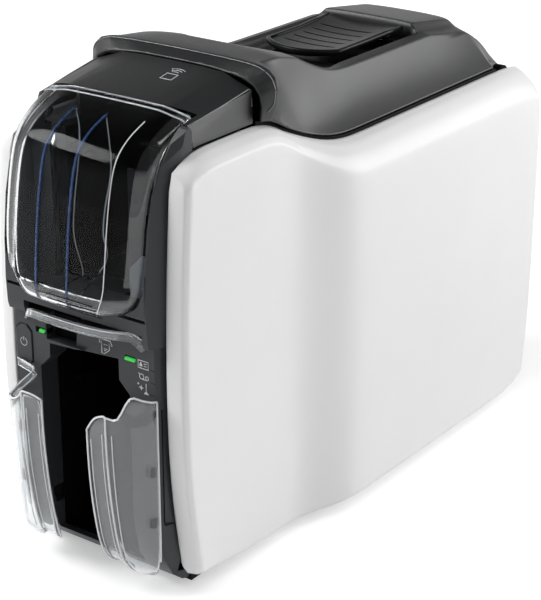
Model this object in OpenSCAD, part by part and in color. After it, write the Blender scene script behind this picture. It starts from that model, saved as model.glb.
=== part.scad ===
// Desktop printer for plastic identity cards, with a lift-up lid and a clear feeder door.
// X runs to the right, Y to the back and Z up. The origin is under the middle of the printer, on the table.

/* [Overall] */
// Width over the rear part of the side panels
body_w = 154; // [150:1:160]
// Width over the narrower front part of the side panels
front_w = 128; // [126:1:132]
// Length from the front bezel to the back
body_l = 347; // [343:1:355]
// How far the output wings stand out in front of the bezel
wing_reach = 27; // [24:1:32]
// Height of the arch at the front of the lid
hood_h = 276.5; // [274:0.5:280]
// Height of the side panels beside the feeder
brow_h = 246; // [244:0.5:247]
// Height of the side panels beside the lid
deck_h = 222.5; // [221:0.5:225]

/* [Mouldings] */
// Wall of the side panels and the lid
shell_t = 2.5; // [2:0.1:2.8]
// Wall of the clear mouldings
clear_t = 2; // [1.6:0.1:2.4]
// Wall of the inner bins
bin_t = 2; // [1.6:0.1:2.4]
// Gap between neighbouring mouldings
gap = 0.4; // [0.3:0.05:0.6]
// Height of the rubber feet
foot_h = 3; // [2:0.5:4]
// Radius of the rubber feet
foot_r = 8; // [6:0.5:10]
// Thickness of the base tray
tray_t = 3; // [2.5:0.5:4]

/* [Cards] */
// Length of a card
card_l = 85.6; // [84:0.2:87]
// Width of a card
card_w = 54; // [53:0.2:55]
// Thickness of a card
card_t = 0.76; // [0.4:0.02:1]
// Height that the stack of cards may reach
stack_h = 78; // [60:1:80]
// Side play of the cards in the bins
card_play = 1; // [0.5:0.1:1.4]

/* [Feeder door] */
// Half the width of the clear door
door_hw = 46.8; // [46:0.1:47.2]
// Height of the door's hinge axis
hinge_z = 251; // [250:0.5:252]
// Radius of the door's two hinge pins
door_pin_r = 2.5; // [2:0.1:3]

/* [Mechanism] */
// Height of the card path at the platen
path_z = 163; // [160:0.5:165]
// Radius of the platen and feed rollers
roller_r = 8; // [7:0.25:9]
// Radius of the pick tyre
pick_r = 11; // [10:0.25:12]
// Radius of the roller shafts
shaft_r = 3; // [2.5:0.1:3.4]
// Running clearance of a shaft in its bush, on the radius
fit = 0.04; // [0.02:0.01:0.08]
// Distance of the side frames from the middle
frame_x = 36; // [35.5:0.25:37]
// Thickness of the sheet steel side frames
frame_t = 1.5; // [1.2:0.1:2]
// Radius of the pulleys on the rollers
pulley_r = 6.5; // [6:0.25:7]
// Width of the drive belt
belt_w = 6; // [5:0.5:8]
// Thickness of the drive belt
belt_t = 1.4; // [1:0.1:1.8]
// Radius of the motor's pulley
motor_pulley_r = 5; // [4.5:0.25:6]
// Radius of the transport motor
motor_r = 17.5; // [15:0.5:19]

/* [Ribbon] */
// Height of the spool axes
spool_z = 202; // [200:0.5:204]
// Radius of the full supply roll
supply_r = 17; // [14:0.5:18]
// Radius of the film on the take-up spool
takeup_r = 12; // [10:0.5:14]
// Radius of the spool cores
core_r = 8; // [7:0.5:9]
// Width of the ribbon film
film_w = 56; // [54:0.5:57]
// Thickness of the drawn film
film_t = 0.3; // [0.2:0.05:0.4]

/* [Lid] */
// Radius of the lid's hinge pins
lid_pin_r = 3; // [2.5:0.1:3.5]
// Radius round the lid's hinge pins
knuckle_r = 6; // [5.5:0.25:7]
// Half the width of the release pad
pad_hw = 26; // [24:0.5:28]
// Number of grooves across the release pad
pad_grooves = 5; // [3:1:6]
// Radius of the pad's pivot pin
pad_pin_r = 1.5; // [1.2:0.1:1.8]

/* [Front] */
// Half the width of the output bay
bay_hw = 31; // [30:0.5:32]
// Half the width of the bezel's opening above the wings
bay_neck_hw = 24; // [22:0.5:26]
// Travel of the power button
button_travel = 1.2; // [0.8:0.1:1.6]
// Length of the status lights
light_l = 7; // [4:0.5:8]

/* [Hidden] */
$fn = 48;
tiny = 0.01;

white = "#f2f2f0";
black = "#1b1c1e";
dark = "#33363a";
clear = "#a8b4bd";
steel = "#b9bdc0";

// Ends of the body along Y, with the wings counted in the length
rear_y = (body_l + wing_reach) / 2;
front_y = rear_y - body_l;
wing_y = front_y - wing_reach;

// Side panels: outer face, inner edge and the step between the front and rear parts
step_y0 = front_y + 94;
step_y1 = front_y + 145;
edge_front = 11;
edge_rear = 15;
arch_y = front_y + 84;
base_z = foot_h;
tray_z = base_z + tray_t;

// Card stack and card path
stack_y0 = front_y + 24;
stack_y1 = stack_y0 + card_l;
bin_hw = card_w / 2 + card_play;
floor_z = path_z;
pick_y = stack_y1 - 22;
infeed_y = stack_y1 + 16;
platen_y = infeed_y + 50;
outfeed_y = platen_y + 45;
roller_z = path_z - roller_r;
pick_z = path_z + 0.6 - pick_r;
roller_hw = card_w / 2 + 1;

// Output bay
bay_back = front_y + 88;
bay_floor = tray_z + 8;
bay_top = 131;

// Feeder door hinge
hinge_y = front_y + 26;
lip_r = 13.1;
boss_r = 4;
surround_hw = front_w / 2 - edge_front - gap;
boss_x1 = surround_hw - shell_t - 0.5;

// Lid hinge
lid_hinge_y = rear_y - 21;
lid_hinge_z = deck_h - 6.5;
tail_hw = body_w / 2 - edge_rear - 12;
arm_x1 = tail_hw - shell_t - 1.2;
arm_x0 = arm_x1 - 4.3;
ear_x0 = tail_hw + 2.4;
beam_z0 = deck_h + 5.5;
beam_z1 = deck_h + 13;
beam_x0 = 38.5;
beam_x1 = 44;

// Ribbon
takeup_y = platen_y - 45;
supply_y = platen_y + 51;
cheek_x0 = film_w / 2 + 3.4;
cheek_t = 1.6;
guide_r = 3;
guide_dy = 20;
guide_z = path_z + 11;
head_z = path_z + card_t + film_t + 0.9;
head_dy = 11;

// Drive
pulley_x = frame_x + frame_t + 2.5;
belt_gap = 0.3;
motor_y = platen_y - 26;
motor_z = path_z - 58;
bush_r = 6;

// Release pad and its dish
dish_y0 = platen_y - 8;
dish_y1 = dish_y0 + 92;
lid_ridge_hw = 42;
dish_hw = 37;
moat_z = deck_h + 24;
dish_z = moat_z - shell_t - 0.3;
pad_y0 = dish_y0 + 13;
pad_pin_y = dish_y1 - 8;
pad_pin_z = dish_z + 4.1;
pad_hole_y0 = pad_y0 + 13.4;
pad_hole_y1 = pad_pin_y + 4.6;

// Latch
latch_y = platen_y + 34;
latch_z = beam_z0 + 3.6;
latch_r = 2;
latch_x0 = beam_x1 + 0.6;
latch_t = 2;
latch_nose = 6.5;
latch_drop = 21;
push_y = latch_y - 12;
push_hw = 4;

// Board and sockets
board_x = frame_x + frame_t + 11;
board_t = 1.6;
socket_y = rear_y - 18;

// Power button
button_x = 42;
button_z = 126;
button_w = 11;
button_h = 23;
face_y = front_y - 3;
bezel_back = front_y + 10;
bezel_foot_y = front_y + 17.5;

function lerp(a, b, t) = a + (b - a) * t;
function clamp(v, lo, hi) = min(max(v, lo), hi);
function smooth(a, b, v) = let(t = clamp((v - a) / (b - a), 0, 1)) t * t * (3 - 2 * t);
function soft(v, pts, w = 4) = (lookup(v - w, pts) + 2 * lookup(v, pts) + lookup(v + w, pts)) / 4;
function bezier(a, b, c, t) = (1 - t) * (1 - t) * a + 2 * t * (1 - t) * b + t * t * c;
function flat(rows) = [for (row = rows) for (p = row) p];
function flip_x(p) = [-p[0], p[1], p[2]];
function backwards(v) = [for (k = [len(v) - 1 : -1 : 0]) v[k]];
// A half section from the middle outwards, mirrored into a whole one
function both_sides(half) = concat(
    [for (j = [len(half) - 1 : -1 : 1]) flip_x(half[j])],
    half);

// Wall of even thickness under a grid of points; hole = [row0, row1, col0, col1] leaves cells out,
// and trim moves points of the inner face that would pass a neighbour
module thick_sheet(g, th, hole = [0, 0, 0, 0], trim = function(p) p) {
    n = len(g);
    m = len(g[0]);
    function normal(row, col) = let(
        i = clamp(row, 1, n - 2),
        j = clamp(col, 1, m - 2),
        c = cross(g[i + 1][j] - g[i - 1][j], g[i][j + 1] - g[i][j - 1])) c / norm(c);
    inner = [for (i = [0 : n - 1]) [for (j = [0 : m - 1]) trim(g[i][j] - th * normal(i, j))]];
    function cell(i, j) = i >= 0 && i < n - 1 && j >= 0 && j < m - 1
        && !(i >= hole[0] && i < hole[1] && j >= hole[2] && j < hole[3]);
    function quad(a, b, c, d) = [[a, b, c], [a, c, d]];
    // The diagonals of the two halves mirror each other
    function skin(a, b, c, d, j) = j < m / 2 - 0.5 ? [[a, b, c], [a, c, d]] : [[a, b, d], [b, c, d]];
    function top(i, j) = i * m + j;
    function low(i, j) = n * m + i * m + j;
    faces = flat([for (i = [0 : n - 2]) for (j = [0 : m - 2]) if (cell(i, j)) concat(
        skin(top(i, j), top(i, j + 1), top(i + 1, j + 1), top(i + 1, j), j),
        skin(low(i, j), low(i + 1, j), low(i + 1, j + 1), low(i, j + 1), j),
        cell(i - 1, j) ? [] : quad(top(i, j), low(i, j), low(i, j + 1), top(i, j + 1)),
        cell(i + 1, j) ? [] : quad(top(i + 1, j), top(i + 1, j + 1), low(i + 1, j + 1), low(i + 1, j)),
        cell(i, j - 1) ? [] : quad(top(i, j), top(i + 1, j), low(i + 1, j), low(i, j)),
        cell(i, j + 1) ? [] : quad(top(i, j + 1), low(i, j + 1), low(i + 1, j + 1), top(i + 1, j + 1)))]);
    polyhedron(concat(flat(g), flat(inner)), faces);
}

// Solid drawn in the side view (y, z) and given a width along X
module side_slab(x0, x1, pts) {
    translate([x0, 0, 0]) rotate([90, 0, 90]) linear_extrude(x1 - x0) polygon(pts);
}

module side_box(x0, x1, y0, y1, z0, z1) {
    translate([x0, y0, z0]) cube([x1 - x0, y1 - y0, z1 - z0]);
}

// Cylinder along X
module rod(x0, x1, y, z, r) {
    translate([x0, y, z]) rotate([0, 90, 0]) cylinder(h = x1 - x0, r = r);
}

// Both a piece and its mirror image across the middle
module pair() {
    children();
    mirror([1, 0, 0]) children();
}

// Side panels
function outer_x(y) = lerp(front_w / 2, body_w / 2, smooth(step_y0, step_y1, y));
function inner_x(y) = outer_x(y) - lerp(edge_front, edge_rear, smooth(step_y0, step_y1, y));
drop = brow_h - deck_h;
panel_top = [
    [front_y, brow_h - 8], [front_y + 8, brow_h - 3.2], [front_y + 16, brow_h - 1],
    [front_y + 25, brow_h], [arch_y - 6, brow_h], [arch_y + 4, brow_h - 0.12 * drop],
    [arch_y + 17, brow_h - 0.42 * drop], [arch_y + 36, brow_h - 0.77 * drop],
    [arch_y + 50, brow_h - 0.93 * drop], [arch_y + 66, deck_h],
    [rear_y - 26, deck_h], [rear_y - 8, deck_h - 2.5], [rear_y, deck_h - 9]
];
panel_foot = [
    [front_y, base_z + 6.5], [front_y + 24, base_z + 4], [front_y + 72, base_z + 1],
    [rear_y - 30, base_z - 0.2], [rear_y - 12, base_z + 2], [rear_y, base_z + 8]
];
front_edge = [
    [base_z + 6.5, 14], [base_z + 13, 9.5], [base_z + 25, 5], [base_z + 48, 1.6], [base_z + 78, 0.3],
    [base_z + 118, 0], [brow_h - 96, 0], [brow_h - 60, 1.6], [brow_h - 29, 3.6], [brow_h - 16, 5.6],
    [brow_h - 8, 8]
];
rear_edge = [
    [base_z + 8, 8], [base_z + 16, 3], [base_z + 42, 0.6], [base_z + 90, 0], [deck_h - 18, 0],
    [deck_h - 9, 2.4]
];
function top_z(y) = soft(y, panel_top, 3);
function foot_z(y) = soft(y, panel_foot, 3);
// Rows across the panel: from the inner top edge over the rounded shoulder and down to the inner foot edge
shoulder = [[0, 0], [0.12, 0.34], [0.42, 0.72], [0.75, 0.94], [1, 1]];
shoulder_h = [[step_y0, 11], [step_y1, 22]];
foot_round = [[1, 1], [0.55, 0.93], [0.2, 0.7], [0, 0]];
foot_round_h = 7;
end_round = [[0, 0], [0.35, 0.5], [1.4, 0.84], [4.5, 1]];
panel_ys = concat(
    [for (e = end_round) front_y + e[0]],
    [for (d = [12, 22, 38, 58, 74, 84, 92, 100, 108, 116, 124, 132, 140, 150, 164]) front_y + d],
    [for (t = [1 : 5]) lerp(front_y + 164, rear_y - 30, t / 5)],
    [rear_y - 20, rear_y - 11],
    [for (e = backwards(end_round)) rear_y - e[0]]);
function end_f(y) = lookup(min(y - front_y, rear_y - y), end_round);
function panel_point(yn, z, f) = let(
    y = yn + lookup(z, front_edge) * (1 - smooth(front_y, front_y + 60, yn))
        - lookup(z, rear_edge) * smooth(rear_y - 60, rear_y, yn),
    e = end_f(yn)) [lerp(inner_x(y), outer_x(y), f * e), y, z];
function panel_row(yn) = let(
    zt = top_z(yn),
    zb = foot_z(yn),
    sh = lookup(yn, shoulder_h)) concat(
    [for (s = shoulder) panel_point(yn, zt - s[0] * sh, s[1])],
    [for (t = [0.25, 0.5, 0.75]) panel_point(yn, lerp(zt - sh, zb + foot_round_h, t), 1)],
    [for (s = foot_round) panel_point(yn, zb + s[0] * foot_round_h, s[1])]);

module panel() {
    color(white) thick_sheet([for (yn = panel_ys) backwards(panel_row(yn))], shell_t,
        trim = function(p) [max(p[0], inner_x(p[1])), p[1], p[2]]);
}
module side_panel_right() panel();
module side_panel_left() mirror([1, 0, 0]) panel();

// Base tray with a low wall and a seat for each foot
tray_y0 = bezel_foot_y + 0.3;
tray_y1 = rear_y - 5;
feet_at = [[42, tray_y0 + 32], [50, tray_y1 - 20]];
function tray_half(grow) = [for (y = [tray_y0 : 12 : tray_y1 + tiny])
    [inner_x(y) - gap + grow, y]];
module tray_outline(grow) {
    right = concat(tray_half(grow), [[inner_x(tray_y1) - gap + grow, tray_y1]]);
    polygon(concat(right, [for (p = backwards(right)) [-p[0], p[1]]]));
}
module base_tray() {
    wall_h = bay_floor - bin_t - gap - base_z;
    color(black) difference() {
        translate([0, 0, base_z]) linear_extrude(wall_h) tray_outline(0);
        translate([0, 0, tray_z]) linear_extrude(wall_h) intersection() {
            tray_outline(-bin_t);
            translate([-body_w / 2, tray_y0 - 1]) square([body_w, tray_y1 - tray_y0 - bin_t + 1]);
        }
        pair() for (p = feet_at) translate([p[0], p[1], base_z - tiny]) cylinder(h = 1, r = foot_r + 0.3);
        pair() for (y = screw_ys)
            translate([screw_x, y, base_z - tiny]) cylinder(h = tray_t + 1, r = screw_r + 0.2);
    }
}
module feet() {
    color("#222222") pair() for (p = feet_at) translate([p[0], p[1], 0])
        cylinder(h = base_z + 0.98, r1 = foot_r - 0.8, r2 = foot_r);
}

// Side frames: bent sheet with a foot flange and bush holes
flange_w = 12;
screw_r = 1.5;
screw_x = frame_x + frame_t + flange_w / 2;
frame_y0 = front_y + 18.3;
frame_y1 = rear_y - 37;
frame_z1 = deck_h - 4.5;
frame_brow_z = brow_h - 4;
screw_ys = [frame_y0 + 14, lerp(frame_y0, frame_y1, 0.5), frame_y1 - 14];
shafts = [[pick_y, pick_z], [infeed_y, roller_z], [platen_y, roller_z], [outfeed_y, roller_z]];
cleaning_z = path_z + card_t + 0.3 + roller_r;
module frame_blank() {
    side_slab(frame_x, frame_x + frame_t, [
        [frame_y0, tray_z], [frame_y1, tray_z], [frame_y1, frame_z1 - 30], [frame_y1 - 18, frame_z1],
        [arch_y + 50, frame_z1], [arch_y + 20, frame_brow_z - 18], [arch_y + 8, frame_brow_z - 8],
        [arch_y - 6, frame_brow_z], [frame_y0 + 8, frame_brow_z], [frame_y0, frame_brow_z - 10]
    ]);
    side_box(frame_x, frame_x + frame_t + flange_w, frame_y0, frame_y1, tray_z, tray_z + frame_t);
    // Keeper tab in front of the latch leg
    side_box(frame_x, latch_x0 + latch_t, latch_y - latch_nose - gap - frame_t, latch_y - latch_nose - gap,
        latch_z - latch_drop - 2, frame_z1 - 3);
}
module frame_holes(hub_r) {
    x0 = frame_x - 1;
    x1 = frame_x + frame_t + 1;
    for (s = shafts) rod(x0, x1, s[0], s[1], bush_r + 0.02);
    rod(x0, x1, infeed_y, cleaning_z, bush_r + 0.02);
    rod(x0, x1, takeup_y, spool_z, hub_r);
    rod(x0, x1, supply_y, spool_z, hub_r);
    for (y = screw_ys) translate([screw_x, y, tray_z - 1]) cylinder(h = frame_t + 2, r = screw_r + 0.2);
}
module side_frame_right() {
    color(steel) difference() {
        frame_blank();
        frame_holes(journal_r + 1.5);
        rod(frame_x - 1, frame_x + frame_t + 1, motor_y, motor_z, 5);
    }
}
module side_frame_left() {
    color(steel) mirror([1, 0, 0]) difference() {
        frame_blank();
        frame_holes(journal_r + 1.5);
    }
}
module frame_screws() {
    color("#8a8d90") pair() for (y = screw_ys) translate([screw_x, y, 0]) {
        translate([0, 0, tray_z + frame_t]) cylinder(h = 1.6, r = 2.8);
        translate([0, 0, base_z + 0.4]) cylinder(h = tray_z + frame_t - base_z, r = screw_r);
    }
}

// Rim under the lid: two rails beside the opening, tied to the frames, with ears for the lid's pins
rim_w = 3.6;
rim_y0 = arch_y - 7;
rim_y1 = rear_y - 4.4;
rim_rise = 1.5;
rim_h = 8;
rim_ys = [for (t = [0 : 24]) lerp(rim_y0, rim_y1, t / 24)];
tie_ys = [platen_y - 6, lid_hinge_y - 60];
function rim_x(y) = inner_x(y) - gap;
module rim_rail() {
    plan = concat(
        [for (y = rim_ys) [rim_x(y), y]],
        [for (y = backwards(rim_ys)) [rim_x(y) - rim_w, y]]);
    ys = [for (y = rim_ys) if (y < lid_hinge_y - 12) y];
    band = concat(
        [for (y = ys) [y, top_z(y) + rim_rise]],
        [[lid_hinge_y - 8, deck_h - 4], [rim_y1, deck_h - 8], [rim_y1, deck_h - 28],
            [lid_hinge_y - 14, deck_h - 28]],
        [for (y = backwards(ys)) [y, top_z(y) + rim_rise - rim_h]]);
    intersection() {
        linear_extrude(hood_h) polygon(plan);
        side_slab(0, body_w / 2, band);
    }
}
module deck_rim() {
    ear_x1 = rim_x(rear_y) - rim_w + tiny;
    color(black) difference() {
        union() {
            pair() {
                rim_rail();
                rod(ear_x0, ear_x1, lid_hinge_y, lid_hinge_z, knuckle_r);
                side_slab(ear_x0, ear_x1, [
                    [lid_hinge_y - knuckle_r, lid_hinge_z], [lid_hinge_y + knuckle_r, lid_hinge_z],
                    [rim_y1, lid_hinge_z - 14], [rim_y1, deck_h - 36], [lid_hinge_y - knuckle_r, deck_h - 36]
                ]);
                for (y = tie_ys) side_box(frame_x + frame_t, rim_x(y) - rim_w + tiny, y - 4, y + 4,
                    deck_h + rim_rise - rim_h, deck_h + rim_rise - rim_h + 3);
            }
            side_box(-ear_x1, ear_x1, lid_hinge_y - 4, rim_y1, deck_h - 36, deck_h - 32);
        }
        pair() rod(ear_x0 - 1, ear_x1 - 1.5, lid_hinge_y, lid_hinge_z, lid_pin_r + 0.02);
    }
}

// Rear panel with the socket openings, vents and a slot for a cable lock
rear_hw = body_w / 2 - edge_rear - gap;
rear_t = 3.5;
rear_z1 = deck_h - 37;
usb_w = 12;
usb_h = 11;
usb_z = 44;
lan_w = 13;
lan_h = 14;
lan_z = 66;
dc_s = 11;
dc_z = 24;
socket_x1 = -board_x + board_t / 2;
module rear_cut(w, h, z) {
    side_box(socket_x1 - gap, socket_x1 + w + gap, rear_y - rear_t - 1, rear_y + 1, z - gap, z + h + gap);
}
module rear_panel() {
    vents = 9;
    color(black) difference() {
        union() {
            side_box(-rear_hw, rear_hw, rear_y - rear_t, rear_y, tray_z, rear_z1);
            pair() side_box(rear_hw - 3, rear_hw, rear_y - 16, rear_y - 1, tray_z + 16, rear_z1);
        }
        rear_cut(usb_w, usb_h, usb_z);
        rear_cut(lan_w, lan_h, lan_z);
        rear_cut(dc_s, dc_s, dc_z);
        for (k = [0 : vents - 1]) side_box(-6, 46, rear_y - rear_t - 1, rear_y + 1, 96 + 8 * k, 99 + 8 * k);
        side_box(38, 45, rear_y - rear_t - 1, rear_y + 1, 28, 31);
    }
}

// Front bezel below the door
bezel_z0 = tray_z - 2;
seam_z = 147;
bezel_side = [
    [front_y + 15, bezel_z0], [front_y + 8, bezel_z0 + 6], [front_y + 1, 22], [face_y, 44], [face_y, seam_z],
    [bezel_back, seam_z], [bezel_back, bay_floor - bin_t - gap], [bezel_foot_y, bay_floor - bin_t - gap],
    [bezel_foot_y, bezel_z0]
];
module bezel_opening() {
    polygon([
        [-bay_hw, bay_floor], [-bay_hw, 116], [-bay_neck_hw, 123], [-bay_neck_hw, bay_top], [-8, bay_top + 1],
        [8, bay_top + 3], [bay_neck_hw, bay_top + 2], [bay_neck_hw, 123], [bay_hw, 116], [bay_hw, bay_floor]
    ]);
}
bezel_corners = [
    [bezel_z0 - 1, front_y + 15, 7], [bezel_z0 + 6, front_y + 8, 8], [22, front_y + 1, 9], [44, face_y, 10],
    [seam_z + 1, face_y, 10]
];
module lower_bezel() {
    color(dark) difference() {
        side_slab(-surround_hw, surround_hw, bezel_side);
        translate([0, rear_y, 0]) rotate([90, 0, 0]) linear_extrude(2 * body_l) bezel_opening();
        // Pocket of the card slot under the clear guide
        side_box(-26, bay_neck_hw, face_y - 1, face_y + 8, bay_top + 2, seam_z + 1);
        // Seats of the status lights and the power button
        for (x = light_xs) side_box(x - light_l / 2 - 0.1, x + light_l / 2 + 0.1, face_y - 1, bezel_back + 1,
            light_z - 1.6, light_z + 1.6);
        button_shape(0.35, face_y - 1, bezel_back + 1);
        side_box(-button_x - board_hw, -button_x + board_hw, face_y + 8, bezel_back + 1,
            button_z - board_hh, button_z + board_hh);
        // Inside of the moulding
        side_slab(-surround_hw + 3, surround_hw - 3, [
            [front_y + 4, 30], [face_y + bin_t + 1, 46], [face_y + bin_t + 1, 112], [bezel_back + 1, 112],
            [bezel_back + 1, 30]
        ]);
        slant_corners(bezel_corners);
    }
    bay_frame();
}
// Neck of the bezel round the bay
module bay_frame() {
    color(dark) difference() {
        side_box(-bay_hw - bin_t, bay_hw + bin_t, face_y + bin_t, bezel_back, 40, 112);
        side_box(-bay_hw, bay_hw, face_y, bezel_back + 1, 39, 113);
    }
}

light_xs = [-30, 32];
board_hw = 6.5;
board_hh = 15;
light_z = 137;
module status_light(x) {
    color("#2fd04a") side_box(x - light_l / 2, x + light_l / 2, face_y - 0.4, face_y + 6,
        light_z - 1.5, light_z + 1.5);
}
module status_light_left() status_light(light_xs[0]);
module status_light_right() status_light(light_xs[1]);

module button_shape(grow, y0, y1) {
    w = button_w / 2 + grow;
    h = button_h / 2 + grow;
    c = 3.2;
    translate([-button_x, y1, button_z]) rotate([90, 0, 0]) linear_extrude(y1 - y0) polygon([
        [-w + c, -h], [w - c, -h], [w, -h + c], [w, h - c], [w - c, h], [-w + c, h], [-w, h - c], [-w, -h + c]
    ]);
}
module power_button() {
    color(dark) button_shape(0, face_y - 0.8, face_y + 4);
    color(dark) translate([-button_x, face_y + 8, button_z]) rotate([90, 0, 0]) cylinder(h = 4 + tiny, r = 2);
}
module button_switch() {
    y0 = face_y + 8 + button_travel + 0.2;
    hw = board_hw - 0.3;
    hh = board_hh - 0.3;
    color("#2f6b45") side_box(-button_x - hw, -button_x + hw, y0 + 3, y0 + 4.4, button_z - hh, button_z + hh);
    color("#222222") side_box(-button_x - 3, -button_x + 3, y0, y0 + 3, button_z - 3, button_z + 3);
}

// Solid through a stack of outlines with the same number of points
module loft(rings) {
    n = len(rings[0]);
    m = len(rings);
    side = flat([for (k = [0 : m - 2]) for (i = [0 : n - 1]) let(
        a = k * n + i,
        b = k * n + (i + 1) % n) [[a, a + n, b], [b, a + n, b + n]]]);
    polyhedron(flat(rings), concat([[for (i = [0 : n - 1]) i]], [[for (i = [n - 1 : -1 : 0]) (m - 1) * n + i]], side));
}
// Cuts the front corners of a moulding back to its outer edge; each row is [z, y at the front, setback]
corner_x0 = door_hw + gap + 0.8;
module slant_corners(rows) {
    x1 = surround_hw + 1;
    grow = (x1 - corner_x0) / (surround_hw - corner_x0);
    pair() loft([for (r = rows) [
        [corner_x0, r[1], r[0]], [corner_x0, wing_y, r[0]], [x1, wing_y, r[0]], [x1, r[1] + grow * r[2], r[0]]
    ]]);
}

// Frame round the feeder door: side profile of its front edge
brow_pts = [
    [hinge_y - 1, hinge_z + 4.4], [hinge_y - 2.6, hinge_z + 6.6], [hinge_y - 5, hinge_z + 6.2],
    [hinge_y - 12, hinge_z - 0.3],
    [hinge_y - 20, hinge_z - 10], [hinge_y - 27, hinge_z - 24], [hinge_y - 31, hinge_z - 40],
    [hinge_y - 33.6, hinge_z - 62], [hinge_y - 34.6, hinge_z - 86], [hinge_y - 34, seam_z + 4],
    [hinge_y - 33, seam_z + gap]
];
brow_corners = [
    [seam_z - 1, hinge_y - 33, 9.5], [hinge_z - 86, hinge_y - 34.6, 10], [hinge_z - 62, hinge_y - 33.6, 11],
    [hinge_z - 40, hinge_y - 31, 11], [hinge_z - 24, hinge_y - 27, 11], [hinge_z - 10, hinge_y - 20, 9],
    [hinge_z - 0.3, hinge_y - 12, 4], [hinge_z + 6.2, hinge_y - 5, 0]
];
module door_surround() {
    back = hinge_y + 4.5;
    inner = door_hw + gap;
    sill_z = path_z + 2.6;
    flange_y = frame_y0 - 0.3;
    color(dark) difference() {
        union() {
            intersection() {
                side_slab(-surround_hw, surround_hw, concat(brow_pts, [
                    [flange_y, seam_z + gap], [flange_y, floor_z + 4], [back, floor_z + 18],
                    [back, brow_h - 4], [hinge_y - 1, brow_h - 4]
                ]));
                translate([0, hinge_y + 128, 0]) cylinder(h = hood_h, r = 170, $fn = 160);
            }
            pair() rod(inner, boss_x1, hinge_y, hinge_z, boss_r);
        }
        // Notch for the clear lip
        side_box(-36 - gap, 44 + gap, hinge_y - 50, hinge_y - 25.5, seam_z - 1, seam_z + 7.6);
        // Space behind the door, open to the hopper
        side_slab(-inner, inner, [
            [hinge_y - 60, sill_z], [hinge_y - 60, hood_h], [back + 5, hood_h],
            [back + 5, floor_z - bin_t - gap], [hinge_y - 26, floor_z - bin_t - gap]
        ]);
        // Hollow under the sill
        side_box(-inner + 4, inner - 4, hinge_y - 30, back + 1, seam_z - 1, sill_z - 7);
        pair() rod(inner - 1, boss_x1 + 0.4, hinge_y, hinge_z, door_pin_r + fit);
        slant_corners(brow_corners);
    }
    // Flanges that meet the front edges of the side frames
    color(dark) pair()
        side_box(frame_x - 1, inner + tiny, flange_y - 2, flange_y, sill_z - 7.5, hinge_z - 16);
}

// Fixed cap between the door and the lid: a flat top between two chamfers that widen towards the lid
cap_y0 = hinge_y - 0.6;
cap_y1 = arch_y - 9.4;
cap_flat_hw = 34;
cap_lift = 9;
module cap_section(inset, t) {
    w = surround_hw - inset;
    z = hinge_z + lerp(11.8, 11.8 + cap_lift, t) - inset;
    corner_x = w - lerp(3.2, 0.3, t);
    half = [
        [w, brow_h + 0.8], [w, brow_h + 3], [corner_x, z - lerp(5.2, 7.2, t)], [cap_flat_hw, z - 0.9],
        [cap_flat_hw - 14, z - 0.2], [0, z]
    ];
    polygon(concat(half, [for (p = backwards(half)) if (p[0] > 0) [-p[0], p[1]]]));
}
module cap_form(inset) {
    hull() {
        translate([0, cap_y0 + inset * 0.5, 0]) rotate([90, 0, 0]) linear_extrude(0.1) cap_section(inset, 0);
        translate([0, cap_y1 + 0.1 - inset, 0]) rotate([90, 0, 0]) linear_extrude(0.1)
            cap_section(inset, 1);
    }
}
module front_cap() {
    inner = door_hw + gap;
    color(black) difference() {
        union() {
            difference() {
                cap_form(0);
                cap_form(shell_t);
                side_box(-surround_hw + shell_t, surround_hw - shell_t, hinge_y - 1, cap_y1 - shell_t,
                    brow_h - 1, brow_h + 4);
            }
            // Ribs that stand on the side frames
            pair() side_box(frame_x, frame_x + frame_t + 1, hinge_y + 16, cap_y1 - 1,
                frame_brow_z, hinge_z + 9);
        }
        // Room for the turning lip of the door and for the hinge bosses
        rod(-inner, inner, hinge_y, hinge_z, lip_r + gap);
        side_box(-inner, inner, hinge_y - 10, hinge_y, brow_h - 5, hood_h);
        pair() rod(inner - 1, boss_x1 + gap, hinge_y, hinge_z, boss_r + gap);
    }
}

// Clear lip of the card slot under the door
module slot_guide() {
    lip_y = hinge_y - 36;
    lip_z = seam_z + 0.2;
    color(clear) intersection() {
        difference() {
            translate([0, lip_y + 128, lip_z]) cylinder(h = 7, r = 130, $fn = 160);
            translate([0, lip_y + 128, lip_z + 1.6]) cylinder(h = 8, r = 130 - clear_t, $fn = 160);
            translate([0, lip_y + 128, lip_z - 1]) cylinder(h = 12, r = 120, $fn = 160);
        }
        translate([-36, lip_y - 3, seam_z - 2]) cube([80, 12, 12]);
    }
}

// Clear door: rows run from the hinge lip at the top down to the grip edge
door_rows = [
    [5.2, 11.9, 0], [0, 11.3, 8], [-11, 8.3, 24], [-21, 4.4, 40], [-29, -0.4, 54], [-34.6, -6.4, 67],
    [-38, -14, 78], [-41, -26, 85], [-43.6, -41, 89], [-45.6, -56, 90], [-47, -71, 90], [-47.4, -78, 90],
    [-46.4, -82, 90], [-43, -84, 90]
];
door_cols = [[0, 0], [0.25, 0.2], [0.45, 0.6], [0.6, 1.1], [0.655, 1.5], [0.69, 2.3], [0.76, 4.2],
    [0.85, 6.9], [0.93, 9.2], [0.97, 10.8], [0.99, 13], [1, 16]];
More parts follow.
